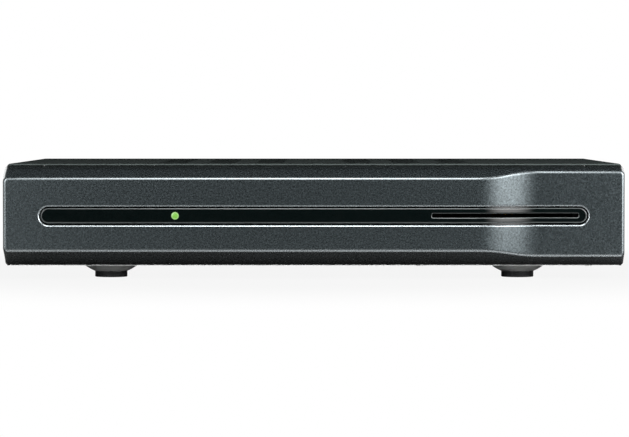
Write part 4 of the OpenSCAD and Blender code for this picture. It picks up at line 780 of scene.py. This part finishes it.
def combine(tree, operation, *sources):
    """A maths node fed by other nodes or by plain numbers."""
    node = add_node(tree, "ShaderNodeMath", operation=operation)
    for socket, source in zip(node.inputs, sources):
        if isinstance(source, float):
            socket.default_value = source
        else:
            tree.links.new(source, socket)
    return node.outputs["Value"]


powder, powder_shader = new_finish("dark powder coat", (0.03, 0.036, 0.035), roughness=0.75)
powder_shader.inputs["Specular IOR Level"].default_value = 0.0
tree = powder.node_tree
place = split_place(tree)
across, along, up = place["X"], place["Y"], place["Z"]

# Painted highlight: the coat is made lighter in a fine band along the sheet's cut front edge.
under_start = smooth_step(tree, up, cover_high.z - soft_high * highlight_band_start,
                          cover_high.z - soft_low * highlight_band_start, cut_edge_highlight_gain, 1.0)
over_end = smooth_step(tree, up, cover_high.z - soft_high * highlight_band_end,
                       cover_high.z - soft_low * highlight_band_end, 1.0, cut_edge_highlight_gain)
cut_edge_highlight = add_node(tree, "ShaderNodeMapRange")
cut_edge_highlight.inputs["To Min"].default_value = 1.0
tree.links.new(smooth_step(tree, along, seam_y + cut_front, seam_y + cut_back, 1.0, 0.0),
               cut_edge_highlight.inputs["Value"])
tree.links.new(combine(tree, "MINIMUM", over_end, under_start), cut_edge_highlight.inputs["To Max"])

# Painted shade: the strips between the vent slots are made a little darker, and the slots' own walls darker
# still.
off_middle = combine(tree, "ABSOLUTE", across)
off_column = combine(tree, "PINGPONG", combine(tree, "SUBTRACT", off_middle, vent_first), vent_pitch / 2)
in_vents = smooth_step(tree, off_column, column_inner * vent_half, column_outer * vent_half, 1.0, 0.0)
vents_front, vents_back = seam_y + vents_clear, cover_high.y - vents_clear
for source, start, end, first, last in (
        (off_middle, vent_half, 2 * vent_half, 0.0, 1.0),
        (off_middle, vents_out, vents_out + vents_fade, 1.0, 0.0),
        (along, vents_front, vents_front + vents_fade, 0.0, 1.0),
        (along, vents_back, vents_back + vents_fade, 1.0, 0.0)):
    in_vents = combine(tree, "MULTIPLY", in_vents, smooth_step(tree, source, start, end, first, last))
sunk = combine(tree, "MULTIPLY", in_vents, smooth_step(
    tree, up, cover_high.z - sunk_to, cover_high.z - sunk_from, 1.0, 0.0))
shaded = combine(tree, "MULTIPLY", smooth_step(tree, in_vents, 0.0, 1.0, 1.0, strip_painted_shade),
                 smooth_step(tree, sunk, 0.0, 1.0, 1.0, slot_painted_shade))
coat = add_node(tree, "ShaderNodeHueSaturation")
tree.links.new(combine(tree, "MULTIPLY", cut_edge_highlight.outputs["Result"], shaded), coat.inputs["Value"])
tree.links.new(coat.outputs["Color"], powder_shader.inputs["Base Color"])
vary(powder, grain(powder, 0.8 * mm), coat.inputs["Color"], (0.018, 0.0215, 0.021), (0.027, 0.032, 0.031))
emboss(powder, powder_shader, grain(powder, 0.45 * mm), height=0.05 * mm)
dress(powder, "top_cover")
dark_screw, dark_screw_shader = new_finish("black screw", (0.03, 0.03, 0.032), roughness=0.35, metallic=0.6)
mottle(dark_screw, dark_screw_shader, "Roughness", 0.5 * mm, 0.28, 0.45)
dress(dark_screw, "cover_screws")

# Studio: a pale floor, a dim room, soft panels of light and the camera.
# The floor is a plain sheet that runs out to white. Soft panels hang overhead in front of the
# receiver and stand to its right and left, and two weaker ones fill the back.
floor_sides, floor_front, floor_back = 4.0, -0.33, 5.0
floor_shade, floor_white_near, floor_mirror_near = 0.15, 0.9, 0.0
floor_fade_start, floor_fade_end = 0.14, 0.33


def flat_sheet(name, low, high):
    """A rectangle between two corners, which belongs to the studio."""
    build = bmesh.new()
    build.faces.new([build.verts.new((x, y, 0)) for x, y in (
        low, (high[0], low[1]), high, (low[0], high[1]))])
    mesh = bpy.data.meshes.new(name)
    build.to_mesh(mesh)
    build.free()
    sheet = bpy.data.objects.new(name, mesh)
    bpy.context.collection.objects.link(sheet)
    return sheet


def seen_rays(tree):
    """1 for the rays that show a background: straight to the camera, mirrored or through glass."""
    path = add_node(tree, "ShaderNodeLightPath")
    mirrored = combine(tree, "MAXIMUM", path.outputs["Is Camera Ray"], path.outputs["Is Glossy Ray"])
    return combine(tree, "MAXIMUM", mirrored, path.outputs["Is Transmission Ray"])


def camera_rays(tree):
    """1 for the rays that come straight to the camera."""
    return add_node(tree, "ShaderNodeLightPath").outputs["Is Camera Ray"]


def show(tree, share, plain, seen, output):
    """Show one shader in place of another by a share, and send the result to the output."""
    mix = add_node(tree, "ShaderNodeMixShader")
    for source, socket in zip((share, plain, seen), mix.inputs):
        tree.links.new(source, socket)
    tree.links.new(mix.outputs["Shader"], tree.nodes[output].inputs["Surface"])


floor = flat_sheet("floor", (-floor_sides, floor_front), (floor_sides, floor_back))
pale, pale_shader = new_finish("pale floor", (floor_shade, floor_shade, floor_shade), roughness=0.9)
pale_shader.inputs["Specular IOR Level"].default_value = 0.0
tree = pale.node_tree
place = add_node(tree, "ShaderNodeTexCoord")
reach = add_node(tree, "ShaderNodeVectorMath", operation="LENGTH")
tree.links.new(place.outputs["Object"], reach.inputs[0])
straight, mirrored = (
    combine(tree, "MULTIPLY", rays, smooth_step(
        tree, reach.outputs["Value"], floor_fade_start, floor_fade_end, near, 1.0))
    for rays, near in ((camera_rays(tree), floor_white_near), (seen_rays(tree), floor_mirror_near)))
white = add_node(tree, "ShaderNodeEmission")
show(tree, combine(tree, "MAXIMUM", straight, mirrored), pale_shader.outputs["BSDF"],
     white.outputs["Emission"], "Material Output")
floor.data.materials.append(pale)

# The room is dim, and a little brighter high up. The camera sees it white all round. Mirrored rays
# see it white low down, except straight ahead of the front.
room_colour, room_white = (0.045, 0.05, 0.0525, 1.0), (1.0, 1.0, 1.0, 1.0)
room_dim, dim_below, bright_above = 0.1, 0.3, 0.95
ahead, behind = -0.55, -0.2
below_floor, near_level = -0.16, -0.1
white_below, plain_above = 0.1, 0.3
world = bpy.data.worlds.new("studio")
bpy.context.scene.world = world
world.use_nodes = True
tree = world.node_tree
room = tree.nodes["Background"]
room.inputs["Color"].default_value = room_colour
backdrop = add_node(tree, "ShaderNodeBackground", Color=room_white)
way = split_place(tree, "Generated")
tree.links.new(smooth_step(tree, way["Z"], dim_below, bright_above, room_dim, 1.0), room.inputs["Strength"])
whiteness = combine(
    tree, "MULTIPLY", smooth_step(tree, way["Z"], white_below, plain_above, 1.0, 0.0),
    combine(tree, "MAXIMUM", smooth_step(tree, way["Y"], ahead, behind),
            smooth_step(tree, way["Z"], below_floor, near_level, 1.0, 0.0)))
show(tree, combine(tree, "MAXIMUM", camera_rays(tree), combine(tree, "MULTIPLY", whiteness, seen_rays(tree))),
     room.outputs["Background"], backdrop.outputs["Background"], "World Output")


def soft_panel(name, place, aim, half_width, half_height, radiance, soft_start):
    """A flat panel of light that shines from place towards aim and fades out to its rim."""
    panel = flat_sheet(name, (-half_width, -half_height), (half_width, half_height))
    panel.location = place
    panel.rotation_euler = (Vector(aim) - Vector(place)).to_track_quat("Z", "Y").to_euler()
    panel.visible_camera = False
    panel.visible_shadow = False
    glow = bpy.data.materials.new(name)
    glow.use_nodes = True
    tree = glow.node_tree
    tree.nodes.remove(tree.nodes["Principled BSDF"])
    spot = split_place(tree)
    fade_x, fade_y = (
        smooth_step(tree, combine(tree, "ABSOLUTE", spot[axis]), soft_start * half, half, 1.0, 0.0)
        for axis, half in (("X", half_width), ("Y", half_height)))
    back = add_node(tree, "ShaderNodeNewGeometry").outputs["Backfacing"]
    facing = combine(tree, "SUBTRACT", 1.0, back)
    fade = combine(tree, "MULTIPLY", combine(tree, "MULTIPLY", fade_x, fade_y), facing)
    shine = add_node(tree, "ShaderNodeEmission")
    tree.links.new(combine(tree, "MULTIPLY", fade, radiance), shine.inputs["Strength"])
    tree.links.new(shine.outputs["Emission"], tree.nodes["Material Output"].inputs["Surface"])
    panel.data.materials.append(glow)


soft_panel("overhead panel", place=(0.0, -0.56, 0.62), aim=(0.0, -0.1, 0.04),
           half_width=0.24, half_height=0.5, radiance=9.0, soft_start=0.25)
soft_panel("right panel", place=(0.4, -0.42, 0.2), aim=(0.08, -0.1, 0.05),
           half_width=0.33, half_height=0.3, radiance=12.0, soft_start=0.15)
soft_panel("left panel", place=(-0.36, -0.62, 0.2), aim=(-0.13, -0.1, 0.03),
           half_width=0.18, half_height=0.3, radiance=10.0, soft_start=0.2)
for name, x in (("rear left panel", -0.7), ("rear right panel", 0.7)):
    soft_panel(name, place=(x, 0.85, 0.45), aim=(0.0, 0.05, 0.03),
               half_width=0.4, half_height=0.4, radiance=3.0, soft_start=0.5)

# The camera stands far back, a little above the top of the receiver, and looks slightly down.
camera_place, camera_pitch = (0.0001, -1.47375, 0.06654), 88.291
camera_data = bpy.data.cameras.new("camera")
camera_data.lens = 188.8
camera_data.sensor_width = 36.0
camera = bpy.data.objects.new("camera", camera_data)
camera.location = camera_place
camera.rotation_euler = (radians(camera_pitch), 0.0, 0.0)
bpy.context.collection.objects.link(camera)
bpy.context.scene.camera = camera
bpy.context.scene.view_settings.view_transform = "Standard"
